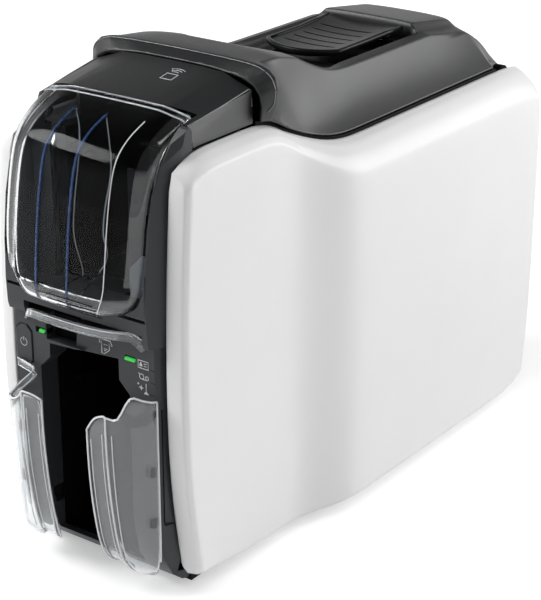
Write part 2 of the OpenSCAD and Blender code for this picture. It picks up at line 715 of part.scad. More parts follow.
// How much narrower the lowest rows are, which rounds the bottom corners
door_taper = [[-84, 10], [-82, 6], [-78, 2.6], [-71, 0]];
function door_point(row, col) = let(
    depth = col[1] * lerp(0.27, 1, smooth(0, 80, row[2])),
    a = row[2]) [
        col[0] * (door_hw - lookup(row[1], door_taper)),
        hinge_y + row[0] + depth * sin(a),
        hinge_z + row[1] - depth * cos(a)];
door_grid = [for (row = door_rows) both_sides([for (col = door_cols) door_point(row, col)])];
module door_fin(x, rear_pts) {
    sink = clear_t / 2;
    root = [for (k = [2 : len(door_rows) - 2]) let(row = door_rows[k]) [
        hinge_y + row[0] + sink * sin(row[2]) + 0.4,
        hinge_z + row[1] - sink * cos(row[2])
    ]];
    side_slab(x - 0.7, x + 0.7, concat(root, rear_pts));
}
module feeder_door() {
    color(clear) {
        thick_sheet(door_grid, clear_t);
        door_fin(-15, [
            [hinge_y - 11, hinge_z - 78], [hinge_y - 15, hinge_z - 54], [hinge_y - 14, hinge_z - 43],
            [hinge_y - 8, hinge_z - 9], [hinge_y - 8, hinge_z + 3.4]
        ]);
        door_fin(6, [
            [hinge_y - 17, hinge_z - 66], [hinge_y - 19, hinge_z - 50], [hinge_y - 17, hinge_z - 32],
            [hinge_y - 11, hinge_z - 15], [hinge_y - 10, hinge_z + 4]
        ]);
        pair() {
            rod(door_hw - 3.4, boss_x1, hinge_y, hinge_z, door_pin_r);
            // Web that joins the pin to the end of the lip
            side_slab(door_hw - 3.4, door_hw - 1.4, [
                [hinge_y - 3, hinge_z - 2.6], [hinge_y + 3, hinge_z - 2.6], [hinge_y + 4.6, hinge_z + 3.4],
                [hinge_y - 2, hinge_z + 4.4], [hinge_y - 10, hinge_z + 2]
            ]);
        }
    }
}

// Hopper bin, open at the front and the top
bin_top = floor_z + stack_h + 2.6;
bin_y0 = hinge_y - 5;
bin_y1 = stack_y1 + 1.5;
module hopper_bin() {
    outer = frame_x - 0.3;
    recess_hw = 4;
    color(black) difference() {
        side_box(-outer, outer, bin_y0, bin_y1 + bin_t, floor_z - bin_t, bin_top);
        side_box(-bin_hw, bin_hw, bin_y0 - 1, bin_y1, floor_z, bin_top + 1);
        // Gate for one card, notch over the pick tyre and the pockets in the thick side walls
        side_box(-bin_hw, bin_hw, bin_y1 - 1, bin_y1 + bin_t + 1, floor_z, floor_z + 1.6 * card_t);
        side_box(-13, 13, pick_y - pick_r - 1, pick_y + pick_r + 1, floor_z - bin_t - 1, floor_z + 1);
        pair() side_box(bin_hw + bin_t, outer + 1, bin_y0 + bin_t, bin_y1, floor_z - bin_t - 1, floor_z + 30);
        // Square recesses beside the cards
        pair() for (p = [[8, 74], [18, 66], [7, 57]]) let(y = bin_y0 + p[0], z = floor_z + p[1])
            side_box(bin_hw - 1, bin_hw + 3, y - recess_hw, y + recess_hw, z - recess_hw, z + recess_hw);
        side_box(-15, 15, bin_y0 - 1, bin_y0 + 16, floor_z - bin_t - 1, floor_z + 1);
    }
}

// Weight that holds the cards down, with a finger tab
weight_z = floor_z + 0.9;
module card_weight() {
    t = 3.4;
    hw = bin_hw - 1.2;
    rib_h = 2.6;
    color("#2a2c2f") difference() {
        union() {
            side_box(-hw, hw, stack_y0 + 3, stack_y1 - 3, weight_z, weight_z + t);
            for (x = [-16, 0, 16])
                side_box(x - 1, x + 1, stack_y0 + 12, stack_y1 - 10,
                    weight_z + t - tiny, weight_z + t + rib_h);
            translate([0, stack_y0 + 14, weight_z + t - tiny]) cylinder(h = 9, r1 = 7, r2 = 5.5);
        }
        side_box(-14, 14, pick_y - pick_r, pick_y + pick_r, weight_z - 1, weight_z + 1.2);
    }
}

// Output bay behind the wings
module output_bin() {
    outer = bay_hw + bin_t;
    color(black) difference() {
        side_box(-outer, outer, bezel_back + 0.3, bay_back + bin_t, bay_floor - bin_t, bay_top + bin_t);
        side_box(-bay_hw, bay_hw, bezel_back - 1, bay_back, bay_floor, bay_top);
        side_box(-bin_hw, bin_hw, bay_back - 1, bay_back + bin_t + 1, bay_top - 9, bay_top - 3);
    }
    // Brackets on the side walls and feet down to the tray
    color(black) pair() {
        for (z = [52, 98]) side_box(bay_hw - 4, bay_hw + tiny, bezel_back + 14, bezel_back + 22, z, z + 3);
        for (y = [bezel_back + 12, bay_back - 12])
            side_box(14, 20, y - 3, y + 3, tray_z, bay_floor - bin_t + tiny);
    }
}

// Clear output wings: rows climb the wall, columns run from the bezel round the corner to the lip
wing_x = 47;
wing_plan = [
    [wing_x, face_y - gap], [wing_x - 0.6, face_y - 5], [wing_x - 4, lerp(face_y, wing_y, 0.42)],
    [wing_x - 8.6, lerp(face_y, wing_y, 0.78)], [wing_x - 11, wing_y + 2.4], [wing_x - 12.6, wing_y + 0.7],
    [wing_x - 15, wing_y], [wing_x - 20, wing_y + 1.2], [wing_x - 25.5, wing_y + 4]
];
wing_tops = [114.2, 117.4, 122.4, 113.6, 112.6, 113.4, 114, 107.6, 99];
// Each level: its height as a share of the wing's, then how far out and how wide it is there
wing_levels = [[0, 0.30, 0.2], [0.02, 0.52, 0.5], [0.07, 0.72, 0.7], [0.16, 0.87, 0.84], [0.3, 0.94, 0.92],
    [0.5, 0.98, 0.97], [0.75, 1, 1], [0.93, 1, 1], [1, 1, 1]];
wing_z0 = bay_floor - 2;
function wing_point(level, k) = let(
    p = wing_plan[k],
    t = k / (len(wing_plan) - 1),
    z0 = wing_z0 + 9 * t,
    width = lerp(1, level[2], lerp(0.3, 1, t))) [
        lerp(wing_x - 12, p[0], width),
        k == 0 ? p[1] : lerp(face_y - gap, p[1], level[1]),
        lerp(z0, wing_tops[k], level[0])];
module wing() {
    color(clear) {
        thick_sheet([for (level = wing_levels) [for (k = [0 : len(wing_plan) - 1]) wing_point(level, k)]], clear_t,
            trim = function(p) [p[0], min(p[1], face_y - gap), p[2]]);
        // Hooks that clip into the bezel
        for (z = [47, 76]) side_box(wing_x - 3, wing_x - 0.6, face_y - 3, face_y - 0.3, z - 2.5, z + 2.5);
    }
}
module output_wing_right() wing();
module output_wing_left() mirror([1, 0, 0]) wing();

// Lid: sections along Y, each given by its middle, its ridge and its edge
lid_y0 = arch_y - 8.5;
lid_y1 = rear_y - 3;
lid_mid = [
    [lid_y0, hood_h - 4.2], [arch_y - 2, hood_h - 0.6], [arch_y, hood_h - 0.1], [arch_y + 8, hood_h],
    [arch_y + 23, hood_h - 0.4], [arch_y + 43, hood_h - 6], [arch_y + 56, hood_h - 13],
    [arch_y + 73, deck_h + 33.8], [arch_y + 84, deck_h + 32], [lid_hinge_y - 62, deck_h + 32],
    [lid_hinge_y - 22, deck_h + 27], [lid_hinge_y - 4, deck_h + 18], [lid_hinge_y + 8, deck_h + 7.5],
    [lid_y1, deck_h - 5.5]
];
lid_ridge_z = [
    [lid_y0, hood_h - 5.7], [arch_y - 2, hood_h - 1.2], [arch_y, hood_h - 0.7], [arch_y + 8, hood_h - 1.6],
    [arch_y + 23, hood_h - 3], [arch_y + 43, hood_h - 8], [arch_y + 56, hood_h - 14.5],
    [arch_y + 73, deck_h + 32.5], [arch_y + 84, deck_h + 30.4], [arch_y + 100, deck_h + 29.8],
    [lid_hinge_y - 62, deck_h + 29.5], [lid_hinge_y - 20, deck_h + 22], [lid_hinge_y - 4, deck_h + 13],
    [lid_hinge_y + 8, deck_h + 3.5], [lid_y1, deck_h - 7.5]
];
lid_ridge_x = [
    [lid_y0, 33], [arch_y - 2, 44], [arch_y, 46], [arch_y + 8, 46.5], [arch_y + 24, 45.5], [arch_y + 43, 43],
    [arch_y + 60, lid_ridge_hw], [lid_hinge_y - 60, lid_ridge_hw], [lid_hinge_y - 20, 43.5], [lid_y1, 42]
];
// How far the flank's guide point stands out past the straight line, and its height as a share of the flank's
lid_pull_x = [
    [lid_y0, 15], [arch_y - 2, 19.5], [arch_y, 19.5], [arch_y + 5, 9], [arch_y + 12, 2], [arch_y + 24, -3],
    [arch_y + 46, -4], [lid_hinge_y, -1.5]
];
lid_pull_z = [
    [lid_y0, 0.98], [arch_y, 1.03], [arch_y + 5, 0.8], [arch_y + 12, 0.5], [arch_y + 26, 0.3],
    [arch_y + 60, 0.2], [lid_hinge_y - 40, 0.32], [lid_y1, 0.5]
];
// Hollow round the pad: its floor along the middle, and where its walls start and meet the lid's top
hollow_z = [
    [arch_y + 17, hood_h + 3], [arch_y + 23, hood_h], [arch_y + 33, hood_h - 5], [arch_y + 43, hood_h - 10.6],
    [arch_y + 56, hood_h - 17.8], [arch_y + 66, hood_h - 22.6], [arch_y + 76, deck_h + 27.4],
    [dish_y0, deck_h + 25.3], [dish_y0 + 8, moat_z], [dish_y1 - 1, moat_z], [dish_y1 + 4, hood_h]
];
hollow_x0 = [
    [arch_y + 20, 0], [arch_y + 43, 4], [arch_y + 66, 12], [dish_y0, 23], [dish_y0 + 8, 28],
    [dish_y0 + 14, 28.6]
];
hollow_x1 = [
    [arch_y + 20, 8], [arch_y + 23, 14], [arch_y + 33, 26], [arch_y + 43, 34], [arch_y + 56, 39],
    [arch_y + 73, lid_ridge_hw], [dish_y0, 39], [dish_y0 + 8, 36], [dish_y0 + 14, 34.7]
];
hump_y0 = dish_y1 - 3;
hump_y1 = lid_hinge_y - 21;
hump_hw = 32;
hump_h = 4;
function hump(x, y) = hump_h * smooth(hump_hw + 4, hump_hw - 1, abs(x))
    * smooth(hump_y0, hump_y0 + 3, y) * (1 - smooth(hump_y1 - 4, hump_y1 + 4, y));
function lid_edge_x(y) = let(
    w = lerp(surround_hw + 4.6, inner_x(y) - 1.2, smooth(arch_y + 4, arch_y + 60, y)))
    lerp(w, tail_hw, smooth(lid_hinge_y - 16, lid_hinge_y - 5, y));
function lid_edge_z(y) = y < lid_hinge_y - 16 ? top_z(y) + rim_rise + gap
    : lookup(y, [[lid_hinge_y - 16, deck_h + rim_rise + gap], [lid_hinge_y - 5, deck_h + 2.5],
        [lid_hinge_y + 8, deck_h - 3], [lid_y1, deck_h - 10]]);
function lid_top(x, y) = let(
    f = abs(x) / soft(y, lid_ridge_x, 1),
    mid = soft(y, lid_mid, 1.5),
    top = lerp(mid, soft(y, lid_ridge_z, 1.5), pow(f, 4)) + hump(x, y),
    x0 = lookup(y, hollow_x0),
    t = max(abs(x) - x0, 0) / (lookup(y, hollow_x1) - x0),
    depth = mid - lookup(y, hollow_z)) depth > 0 ? min(top, mid + depth * (t * t - 1)) : top;
top_fracs = [0, 0.285, 0.57, 0.68, 0.74, 0.8, 0.86, 0.93, 1];
side_fracs = [0.12, 0.27, 0.44, 0.62, 0.82, 1];
hole_col = 2;
lid_ys_front = [
    for (d = [-8.5, -5, -2, -0.5, 1, 4, 9, 16, 23, 28, 33, 38, 43, 50, 56, 64, 73]) arch_y + d
];
lid_ys_dish = concat(
    [dish_y0 - 2, dish_y0 + 4, dish_y0 + 9, dish_y0 + 16],
    [for (t = [0 : 4]) lerp(pad_hole_y0, pad_hole_y1, t / 4)]);
lid_ys = concat(lid_ys_front, lid_ys_dish,
    [dish_y1 - 1, dish_y1 + 1, dish_y1 + 3, dish_y1 + 5, lerp(dish_y1, hump_y1, 0.5)],
    [hump_y1 - 4, hump_y1, hump_y1 + 4, lid_hinge_y - 10, lid_hinge_y - 5, lid_hinge_y + 1],
    [lid_hinge_y + 8, lid_hinge_y + 14, lid_y1]);
function lid_half(y) = let(
    xr = soft(y, lid_ridge_x, 1),
    zr = lid_top(xr, y),
    xe = lid_edge_x(y),
    ze = lid_edge_z(y),
    px = lerp(xr, xe, 0.6) + lookup(y, lid_pull_x),
    pz = lerp(ze, zr, lookup(y, lid_pull_z))) concat(
    [for (f = top_fracs) [f * xr, y, lid_top(f * xr, y)]],
    [for (t = side_fracs) [bezier(xr, px, xe, t), y, bezier(zr, pz, ze, t)]]);
lid_grid = [for (y = lid_ys) backwards(both_sides(lid_half(y)))];
module lid_shell() {
    mid = len(lid_grid[0]) / 2 - 0.5;
    row1 = len(lid_ys_front) + len(lid_ys_dish) - 1;
    color(black) thick_sheet(lid_grid, shell_t, [row1 - 4, row1, mid - hole_col, mid + hole_col],
        function(p) [p[0], p[1], max(p[2], lid_edge_z(p[1]))]);
}

// Frame inside the lid: two beams with hinge arms, cross bars and the seats of the pad and latch
bar_y0 = bin_y1 + bin_t + 2.5;
module lid_frame() {
    color(black) difference() {
        union() {
            pair() {
                side_box(beam_x0, beam_x1, bar_y0, lid_hinge_y - 24, beam_z0, beam_z1);
                side_slab(arm_x0, arm_x1, [
                    [lid_hinge_y - 44, beam_z0], [lid_hinge_y - 44, beam_z1], [lid_hinge_y - 28, beam_z1 - 1],
                    [lid_hinge_y + knuckle_r * 0.5, lid_hinge_z + knuckle_r * 0.86],
                    [lid_hinge_y - knuckle_r * 0.5, lid_hinge_z - knuckle_r * 0.86],
                    [lid_hinge_y - 22, beam_z0]
                ]);
                rod(arm_x0, arm_x1, lid_hinge_y, lid_hinge_z, knuckle_r);
            }
            side_box(-beam_x1, beam_x1, bar_y0, bar_y0 + 5, beam_z0, beam_z1);
            side_box(-beam_x1, beam_x1, lid_hinge_y - 34, lid_hinge_y - 29, beam_z0, beam_z1);
            side_box(-beam_x1, beam_x1, platen_y - head_dy, platen_y + head_dy, beam_z0, beam_z0 + 3);
        }
        pair() rod(arm_x0 - 1, arm_x1 + 1, lid_hinge_y, lid_hinge_z, lid_pin_r + fit);
        rod(-beam_x1 - 1, beam_x1 + 1, latch_y, latch_z, latch_r + fit);
    }
}
module hinge_pins() {
    color(steel) pair() rod(arm_x0 + 1, ear_x0 + 3.6, lid_hinge_y, lid_hinge_z, lid_pin_r);
}

// Plate under the hollow of the lid, with ears for the pad's pin
module pad_dish() {
    t = 2;
    leg_x = dish_hw - 3;
    color(black) difference() {
        union() {
            side_box(-dish_hw, dish_hw, dish_y0 + 10, dish_y1 - 1, dish_z - t, dish_z);
            // Legs that stand on the beams
            pair() for (y = [dish_y0 + 12, dish_y1 - 22]) {
                side_box(leg_x, leg_x + 3, y, y + 10, beam_z1, dish_z - 1);
                side_box(leg_x, beam_x0 + 4, y, y + 10, beam_z1, beam_z1 + 2);
            }
        }
        // Slot for the pad's post
        side_box(-push_hw - 1, push_hw + 1, push_y - 3, push_y + 3.5, dish_z - t - 1, dish_z + 1);
    }
    color(black) difference() {
        pair() side_slab(pad_hw - 7, pad_hw - 4.5, [
            [pad_pin_y - 3.4, dish_z - tiny], [pad_pin_y + 3.4, dish_z - tiny],
            [pad_pin_y + 2.4, pad_pin_z + 2.6], [pad_pin_y - 2.4, pad_pin_z + 2.6]
        ]);
        rod(-pad_hw, pad_hw, pad_pin_y, pad_pin_z, pad_pin_r + fit);
    }
}

// Ribbed pad with a rounded front edge; it tips about its pin at the back and works the latch
pad_t = 3.4;
pad_flare = 2;
pad_z = dish_z + 8.3;
module release_pad() {
    nose_r = 1.3 * pad_hw;
    rear_y1 = pad_pin_y + 6;
    color(black) difference() {
        union() {
            translate([0, 0, pad_z]) linear_extrude(pad_t) intersection() {
                // The sides flare towards the back corners
                polygon([
                    [-pad_hw, pad_y0], [pad_hw, pad_y0], [pad_hw, pad_y0 + 44], [pad_hw + pad_flare, rear_y1],
                    [-pad_hw - pad_flare, rear_y1], [-pad_hw, pad_y0 + 44]
                ]);
                union() {
                    translate([0, pad_y0 + nose_r]) circle(r = nose_r, $fn = 96);
                    translate([-2 * pad_hw, pad_y0 + nose_r]) square(4 * pad_hw);
                }
            }
            // Post that pushes the crank of the latch
            side_box(-push_hw, push_hw, push_y - 1.5, push_y + 1.5, latch_z + latch_r + gap, pad_z + 1);
            pair() side_slab(pad_hw - 11, pad_hw - 7.4, [
                [pad_pin_y - 3, pad_pin_z - 2.4], [pad_pin_y + 3, pad_pin_z - 2.4],
                [pad_pin_y + 3, pad_z + 1], [pad_pin_y - 3, pad_z + 1]
            ]);
        }
        for (k = [1 : pad_grooves]) let(y = lerp(pad_y0 + 14, pad_pin_y - 4, (k - 0.5) / pad_grooves))
            side_box(-pad_hw + 5, pad_hw - 5, y - 0.6, y + 0.6, pad_z + pad_t - 0.7, pad_z + pad_t + 1);
        rod(-pad_hw, pad_hw, pad_pin_y, pad_pin_z, pad_pin_r + fit);
    }
}
module pad_pin() {
    color(steel) rod(-pad_hw + 4, pad_hw - 4, pad_pin_y, pad_pin_z, pad_pin_r);
}

// Latch bail: a cross shaft with a crank under the pad's post and two legs behind the keeper tabs
module latch_bail() {
    color(steel) {
        rod(-beam_x1 - 4, beam_x1 + 4, latch_y, latch_z, latch_r);
        side_box(-push_hw, push_hw, push_y - 2, latch_y, latch_z - latch_r, latch_z + latch_r);
        pair() side_slab(latch_x0, latch_x0 + latch_t, [
            [latch_y + 3, latch_z + 3], [latch_y - 3, latch_z + 3], [latch_y - 3, latch_z - 14],
            [latch_y - latch_nose, latch_z - 17], [latch_y - 1, latch_z - latch_drop],
            [latch_y + 3, latch_z - 18]
        ]);
    }
}

// Printhead under the lid
sink_z = head_z + 7;
sink_top = head_z + 24;
sink_dy = head_dy - 3;
fin_pitch = 3.1;
module head_bracket() {
    hw = roller_hw - 2;
    top = beam_z0;
    z0 = sink_top;
    color("#2a2c2f") difference() {
        side_slab(-hw, hw, [
            [platen_y - head_dy, top], [platen_y + head_dy, top],
            [platen_y + sink_dy, z0], [platen_y - sink_dy, z0]
        ]);
        pair() side_box(6, hw - 4, platen_y - head_dy - 1, platen_y + head_dy + 1, z0 + 8, top - 6);
    }
}
module head_heatsink() {
    hw = roller_hw - 1;
    color("#c4c8ca") difference() {
        side_box(-hw, hw, platen_y - sink_dy, platen_y + sink_dy, sink_z, sink_top);
        for (k = [-8 : 8])
            side_box(k * fin_pitch - 0.8, k * fin_pitch + 0.8, platen_y - sink_dy - 1, platen_y - 3,
                sink_z + 4, sink_top + 1);
    }
}
module printhead() {
    hw = roller_hw - 1;
    color("#8d6f4a") side_slab(-hw, hw, [
        [platen_y - 7, sink_z], [platen_y + 7, sink_z], [platen_y + 7, head_z + 3], [platen_y + 2, head_z],
        [platen_y - 2, head_z], [platen_y - 7, head_z + 3]
    ]);
}

// Ribbon cartridge
journal_r = 5;
module cheek() {
    difference() {
        union() {
            rod(cheek_x0, cheek_x0 + cheek_t, takeup_y, spool_z, takeup_r + 4);
            rod(cheek_x0, cheek_x0 + cheek_t, supply_y, spool_z, supply_r + 3);
            side_slab(cheek_x0, cheek_x0 + cheek_t, [
                [takeup_y - 8, spool_z - 13], [platen_y - guide_dy - 3, guide_z - 4.4],
                [platen_y + guide_dy + 3, guide_z - 4.4], [supply_y + 8, spool_z - 17.5],
                [supply_y, spool_z - 4], [platen_y + guide_dy + 2, guide_z + 8],
                [platen_y - guide_dy - 2, guide_z + 8], [takeup_y, spool_z - 4]
            ]);
        }
        rod(cheek_x0 - 1, cheek_x0 + cheek_t + 1, takeup_y, spool_z, journal_r + fit);
        rod(cheek_x0 - 1, cheek_x0 + cheek_t + 1, supply_y, spool_z, journal_r + fit);
    }
}
module cartridge_frame() {
    x = cheek_x0 + tiny;
    color("#3c4046") {
        pair() cheek();
        rod(-x, x, platen_y - guide_dy, guide_z, guide_r);
        rod(-x, x, platen_y + guide_dy, guide_z, guide_r);
        side_box(-x, x, takeup_y - takeup_r - 3.4, takeup_y - takeup_r - 2, spool_z - 6, spool_z + 6);
        side_box(-x, x, supply_y + supply_r + 1.2, supply_y + supply_r + 2.6, spool_z - 6, spool_z + 6);
    }
}
module spool(y) {
    end = frame_x - 0.4;
    color("#d9dadb") {
        rod(-film_w / 2 - 2.6, film_w / 2 + 2.6, y, spool_z, core_r);
        rod(-end, end, y, spool_z, journal_r);
    }
}
module film_roll(y, r) {
    color("#3a2a4a") difference() {
        rod(-film_w / 2, film_w / 2, y, spool_z, r);
        rod(-film_w, film_w, y, spool_z, core_r);
    }
}
module supply_spool() spool(supply_y);
module takeup_spool() spool(takeup_y);
module supply_roll() film_roll(supply_y, supply_r);
module takeup_roll() film_roll(takeup_y, takeup_r);
module ribbon_film() {
    nip_z = path_z + card_t + 0.3;
    low = guide_z - guide_r - film_t - 0.25;
    start = [takeup_y + 3, spool_z - takeup_r - 0.9];
    stop = [supply_y - 4, spool_z - supply_r - 0.8];
    path = [start, [platen_y - guide_dy - 1, low], [platen_y - guide_dy + 1.4, low],
        [platen_y - 2, nip_z], [platen_y + 2, nip_z],
        [platen_y + guide_dy - 1.4, low], [platen_y + guide_dy + 1, low], stop];
    color("#5b3f7a") side_slab(-film_w / 2, film_w / 2, concat(
        path, [for (p = backwards(path)) p + [0, film_t]]));
}

// Rollers: steel shafts with a pulley on the right, and rubber sleeves
module roller_shaft(y, z) {
    // Every pulley's top lies on the belt's upper run
    r = roller_z + pulley_r - z;
    color(steel) rod(-frame_x - frame_t - 2, pulley_x + belt_w + 3, y, z, shaft_r);
    color("#e8e4da") {
        rod(pulley_x, pulley_x + belt_w + 1, y, z, r);
        rod(pulley_x + belt_w + 1, pulley_x + belt_w + 2, y, z, r + belt_t + 0.6);
    }
}
module roller_sleeve(y, z, r, hw) {
    color("#55585c") difference() {
        rod(-hw, hw, y, z, r);
        rod(-hw - 1, hw + 1, y, z, shaft_r);
    }
}
module pick_shaft() roller_shaft(pick_y, pick_z);
module pick_tyre() roller_sleeve(pick_y, pick_z, pick_r, 11);
module infeed_shaft() roller_shaft(infeed_y, roller_z);
module infeed_sleeve() roller_sleeve(infeed_y, roller_z, roller_r, roller_hw);
module platen_shaft() roller_shaft(platen_y, roller_z);
module platen_sleeve() roller_sleeve(platen_y, roller_z, roller_r, roller_hw);
module outfeed_shaft() roller_shaft(outfeed_y, roller_z);
module outfeed_sleeve() roller_sleeve(outfeed_y, roller_z, roller_r, roller_hw);
module cleaning_roller() {
    color("#c9cf6a") rod(-roller_hw, roller_hw, infeed_y, cleaning_z, roller_r);
    color(steel) rod(-frame_x - frame_t - 1.4, frame_x + frame_t + 1.4, infeed_y, cleaning_z, shaft_r);
}
module bush(y, z) {
    difference() {
        union() {
            rod(frame_x - 2, frame_x + frame_t + 0.8, y, z, bush_r);
            rod(frame_x - 2, frame_x, y, z, bush_r + 1.2);
        }
        rod(frame_x - 3, frame_x + frame_t + 2, y, z, shaft_r + fit);
    }
}
module shaft_bushes() {
    color("#d8d2c0") pair() {
        for (s = shafts) bush(s[0], s[1]);
        bush(infeed_y, cleaning_z);
    }
}

// Belt round the pick, outfeed and motor pulleys; the other pulleys touch its upper run
module belt_loop(grow) {
    hull() {
        translate([pick_y, pick_z]) circle(r = roller_z + pulley_r - pick_z + grow, $fn = 40);
        translate([outfeed_y, roller_z]) circle(r = pulley_r + grow, $fn = 40);
        translate([motor_y, motor_z]) circle(r = motor_pulley_r + grow, $fn = 40);
    }
}
module drive_belt() {
    color("#202020") translate([pulley_x + 0.5, 0, 0]) rotate([90, 0, 90])
        linear_extrude(belt_w) difference() {
        belt_loop(belt_gap + belt_t);
        belt_loop(belt_gap);
    }
}
module transport_motor() {
    len = 32;
    color("#8e9194") difference() {
        union() {
            rod(frame_x - len, frame_x, motor_y, motor_z, motor_r);
            side_box(frame_x - 2, frame_x, motor_y - motor_r - 5, motor_y + motor_r + 5,
                motor_z - 6, motor_z + 6);
        }
        rod(frame_x - len + 4, frame_x + 1, motor_y, motor_z, 2 + fit);
    }
}
module motor_shaft() {
    color(steel) rod(frame_x - 26, pulley_x + belt_w + 2, motor_y, motor_z, 2);
    color("#e8e4da") rod(pulley_x, pulley_x + belt_w + 1, motor_y, motor_z, motor_pulley_r);
}
module ribbon_motor() {
    x1 = -frame_x - frame_t;
    color("#8e9194") {
        rod(x1 - 20, x1, takeup_y, spool_z, 13);
        rod(x1 - tiny, -frame_x - 0.1, takeup_y, spool_z, journal_r + 1);
    }
}

// Main board and the sockets at its rear edge
module main_board() {
    x0 = -board_x - board_t / 2;
    y0 = rear_y - 150;
    color("#1f6b3a") side_box(x0, x0 + board_t, y0, rear_y - 8, 16, 92);
    color("#202020") {
        side_box(x0 - 2, x0, y0 + 40, y0 + 62, 44, 66);
        side_box(x0 - 1.4, x0, y0 + 84, y0 + 98, 30, 52);
        side_box(x0 - 6, x0, y0 + 8, y0 + 20, 24, 80);
    }
    color("#c8c8c8") for (y = [y0 + 6, frame_y1 - 12]) for (z = [tray_z + 16, 88])
        rod(x0 + board_t - tiny, -frame_x - frame_t, y, z, 2.5);
}
module socket(w, h, z) {
    difference() {
        side_box(socket_x1, socket_x1 + w, socket_y, rear_y - 0.4, z, z + h);
        side_box(socket_x1 + 1.4, socket_x1 + w - 1.4, socket_y + 4, rear_y, z + 1.4, z + h - 1.4);
    }
}
module usb_socket() {
    color("#b8bcc0") socket(usb_w, usb_h, usb_z);
    color("#ededed") side_box(socket_x1 + 3.2, socket_x1 + usb_w - 3.2, socket_y + 4 - tiny, rear_y - 3,
        usb_z + 3.6, usb_z + 7.2);
}
module network_socket() {
    color("#a9adb1") socket(lan_w, lan_h, lan_z);
    color("#d4b45a") for (k = [0 : 7])
        side_box(socket_x1 + 2.6 + k, socket_x1 + 3.1 + k, socket_y + 4 - tiny, rear_y - 7,
            lan_z + lan_h - 3.4, lan_z + lan_h - 2.4);
}
module power_inlet() {
    x = socket_x1 + dc_s / 2;
    z = dc_z + dc_s / 2;
    color("#1d1d1d") difference() {
        side_box(socket_x1, socket_x1 + dc_s, socket_y, rear_y - 0.4, dc_z, dc_z + dc_s);
        translate([x, rear_y, z]) rotate([90, 0, 0]) cylinder(h = 12, r = 3.2);
    }
    color("#c9cccf") translate([x, rear_y - 3, z]) rotate([90, 0, 0]) cylinder(h = 9.4, r = 1);
}

base_tray();
feet();
side_frame_left();
side_frame_right();
frame_screws();
side_panel_left();
side_panel_right();
deck_rim();
rear_panel();
lower_bezel();
door_surround();
front_cap();
slot_guide();
status_light_left();
status_light_right();
power_button();
button_switch();
feeder_door();
hopper_bin();
card_weight();
output_bin();
output_wing_left();
output_wing_right();
lid_shell();
lid_frame();
hinge_pins();
pad_dish();
release_pad();
pad_pin();
latch_bail();
head_bracket();
head_heatsink();
printhead();
cartridge_frame();
supply_spool();
supply_roll();
takeup_spool();
takeup_roll();
ribbon_film();
pick_shaft();
pick_tyre();
infeed_shaft();
infeed_sleeve();
cleaning_roller();
platen_shaft();
platen_sleeve();
outfeed_shaft();
outfeed_sleeve();
shaft_bushes();
drive_belt();
transport_motor();
motor_shaft();
ribbon_motor();
main_board();
usb_socket();
network_socket();
power_inlet();
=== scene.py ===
# Desktop printer for plastic cards: looks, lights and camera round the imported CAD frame.
# Blender 4.5, metres, same frame as the CAD: front towards -Y, table at Z = 0.
import math
import bmesh
import bpy
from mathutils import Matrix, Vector
from mathutils.bvhtree import BVHTree


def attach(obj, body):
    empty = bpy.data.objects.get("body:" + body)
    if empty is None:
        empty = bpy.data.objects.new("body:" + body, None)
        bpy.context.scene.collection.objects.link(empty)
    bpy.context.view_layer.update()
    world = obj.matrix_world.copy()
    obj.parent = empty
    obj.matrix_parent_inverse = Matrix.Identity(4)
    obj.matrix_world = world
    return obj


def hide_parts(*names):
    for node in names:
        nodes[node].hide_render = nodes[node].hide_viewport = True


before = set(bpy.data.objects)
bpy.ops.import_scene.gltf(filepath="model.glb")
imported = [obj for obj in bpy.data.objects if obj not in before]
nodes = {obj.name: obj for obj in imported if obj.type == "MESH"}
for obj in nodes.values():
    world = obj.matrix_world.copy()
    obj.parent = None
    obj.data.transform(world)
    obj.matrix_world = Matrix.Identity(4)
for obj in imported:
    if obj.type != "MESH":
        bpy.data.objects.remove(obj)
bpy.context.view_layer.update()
scene = bpy.context.scene
mm = 0.001
print("frame loaded:", len(nodes), "nodes")

# Camera
cameraSetup = {"place": (0.5951, -0.8089, 0.5301), "turn": 36.28, "down": 22.88, "lens": 110.27, "sensor": 36,
               "nearest": 0.05}
camData = bpy.data.cameras.new("camera")
camData.sensor_fit = "VERTICAL"
camData.sensor_height = cameraSetup["sensor"]
camData.lens = cameraSetup["lens"]
camData.clip_start = cameraSetup["nearest"]
camera = bpy.data.objects.new("camera", camData)
camera.location = cameraSetup["place"]
camera.rotation_euler = (math.radians(90 - cameraSetup["down"]), 0, math.radians(cameraSetup["turn"]))
scene.collection.objects.link(camera)
scene.camera = camera
scene.view_settings.view_transform = "Standard"


def hexColour(code):
    # sRGB hex to the linear values that the shaders take
    parts = [int(code[i:i + 2], 16) / 255 for i in (1, 3, 5)]
    return tuple(c / 12.92 if c <= 0.04045 else ((c + 0.055) / 1.055) ** 2.4 for c in parts) + (1,)


def addNode(tree, kind, inputs=None, **settings):
    # One node with its settings; an input is a value or the socket that feeds it
    node = tree.nodes.new(kind)
    for key, value in settings.items():
        setattr(node, key, value)
    for key, value in (inputs or {}).items():
        if isinstance(value, bpy.types.NodeSocket):
            tree.links.new(value, node.inputs[key])
        else:
            node.inputs[key].default_value = value
    return node


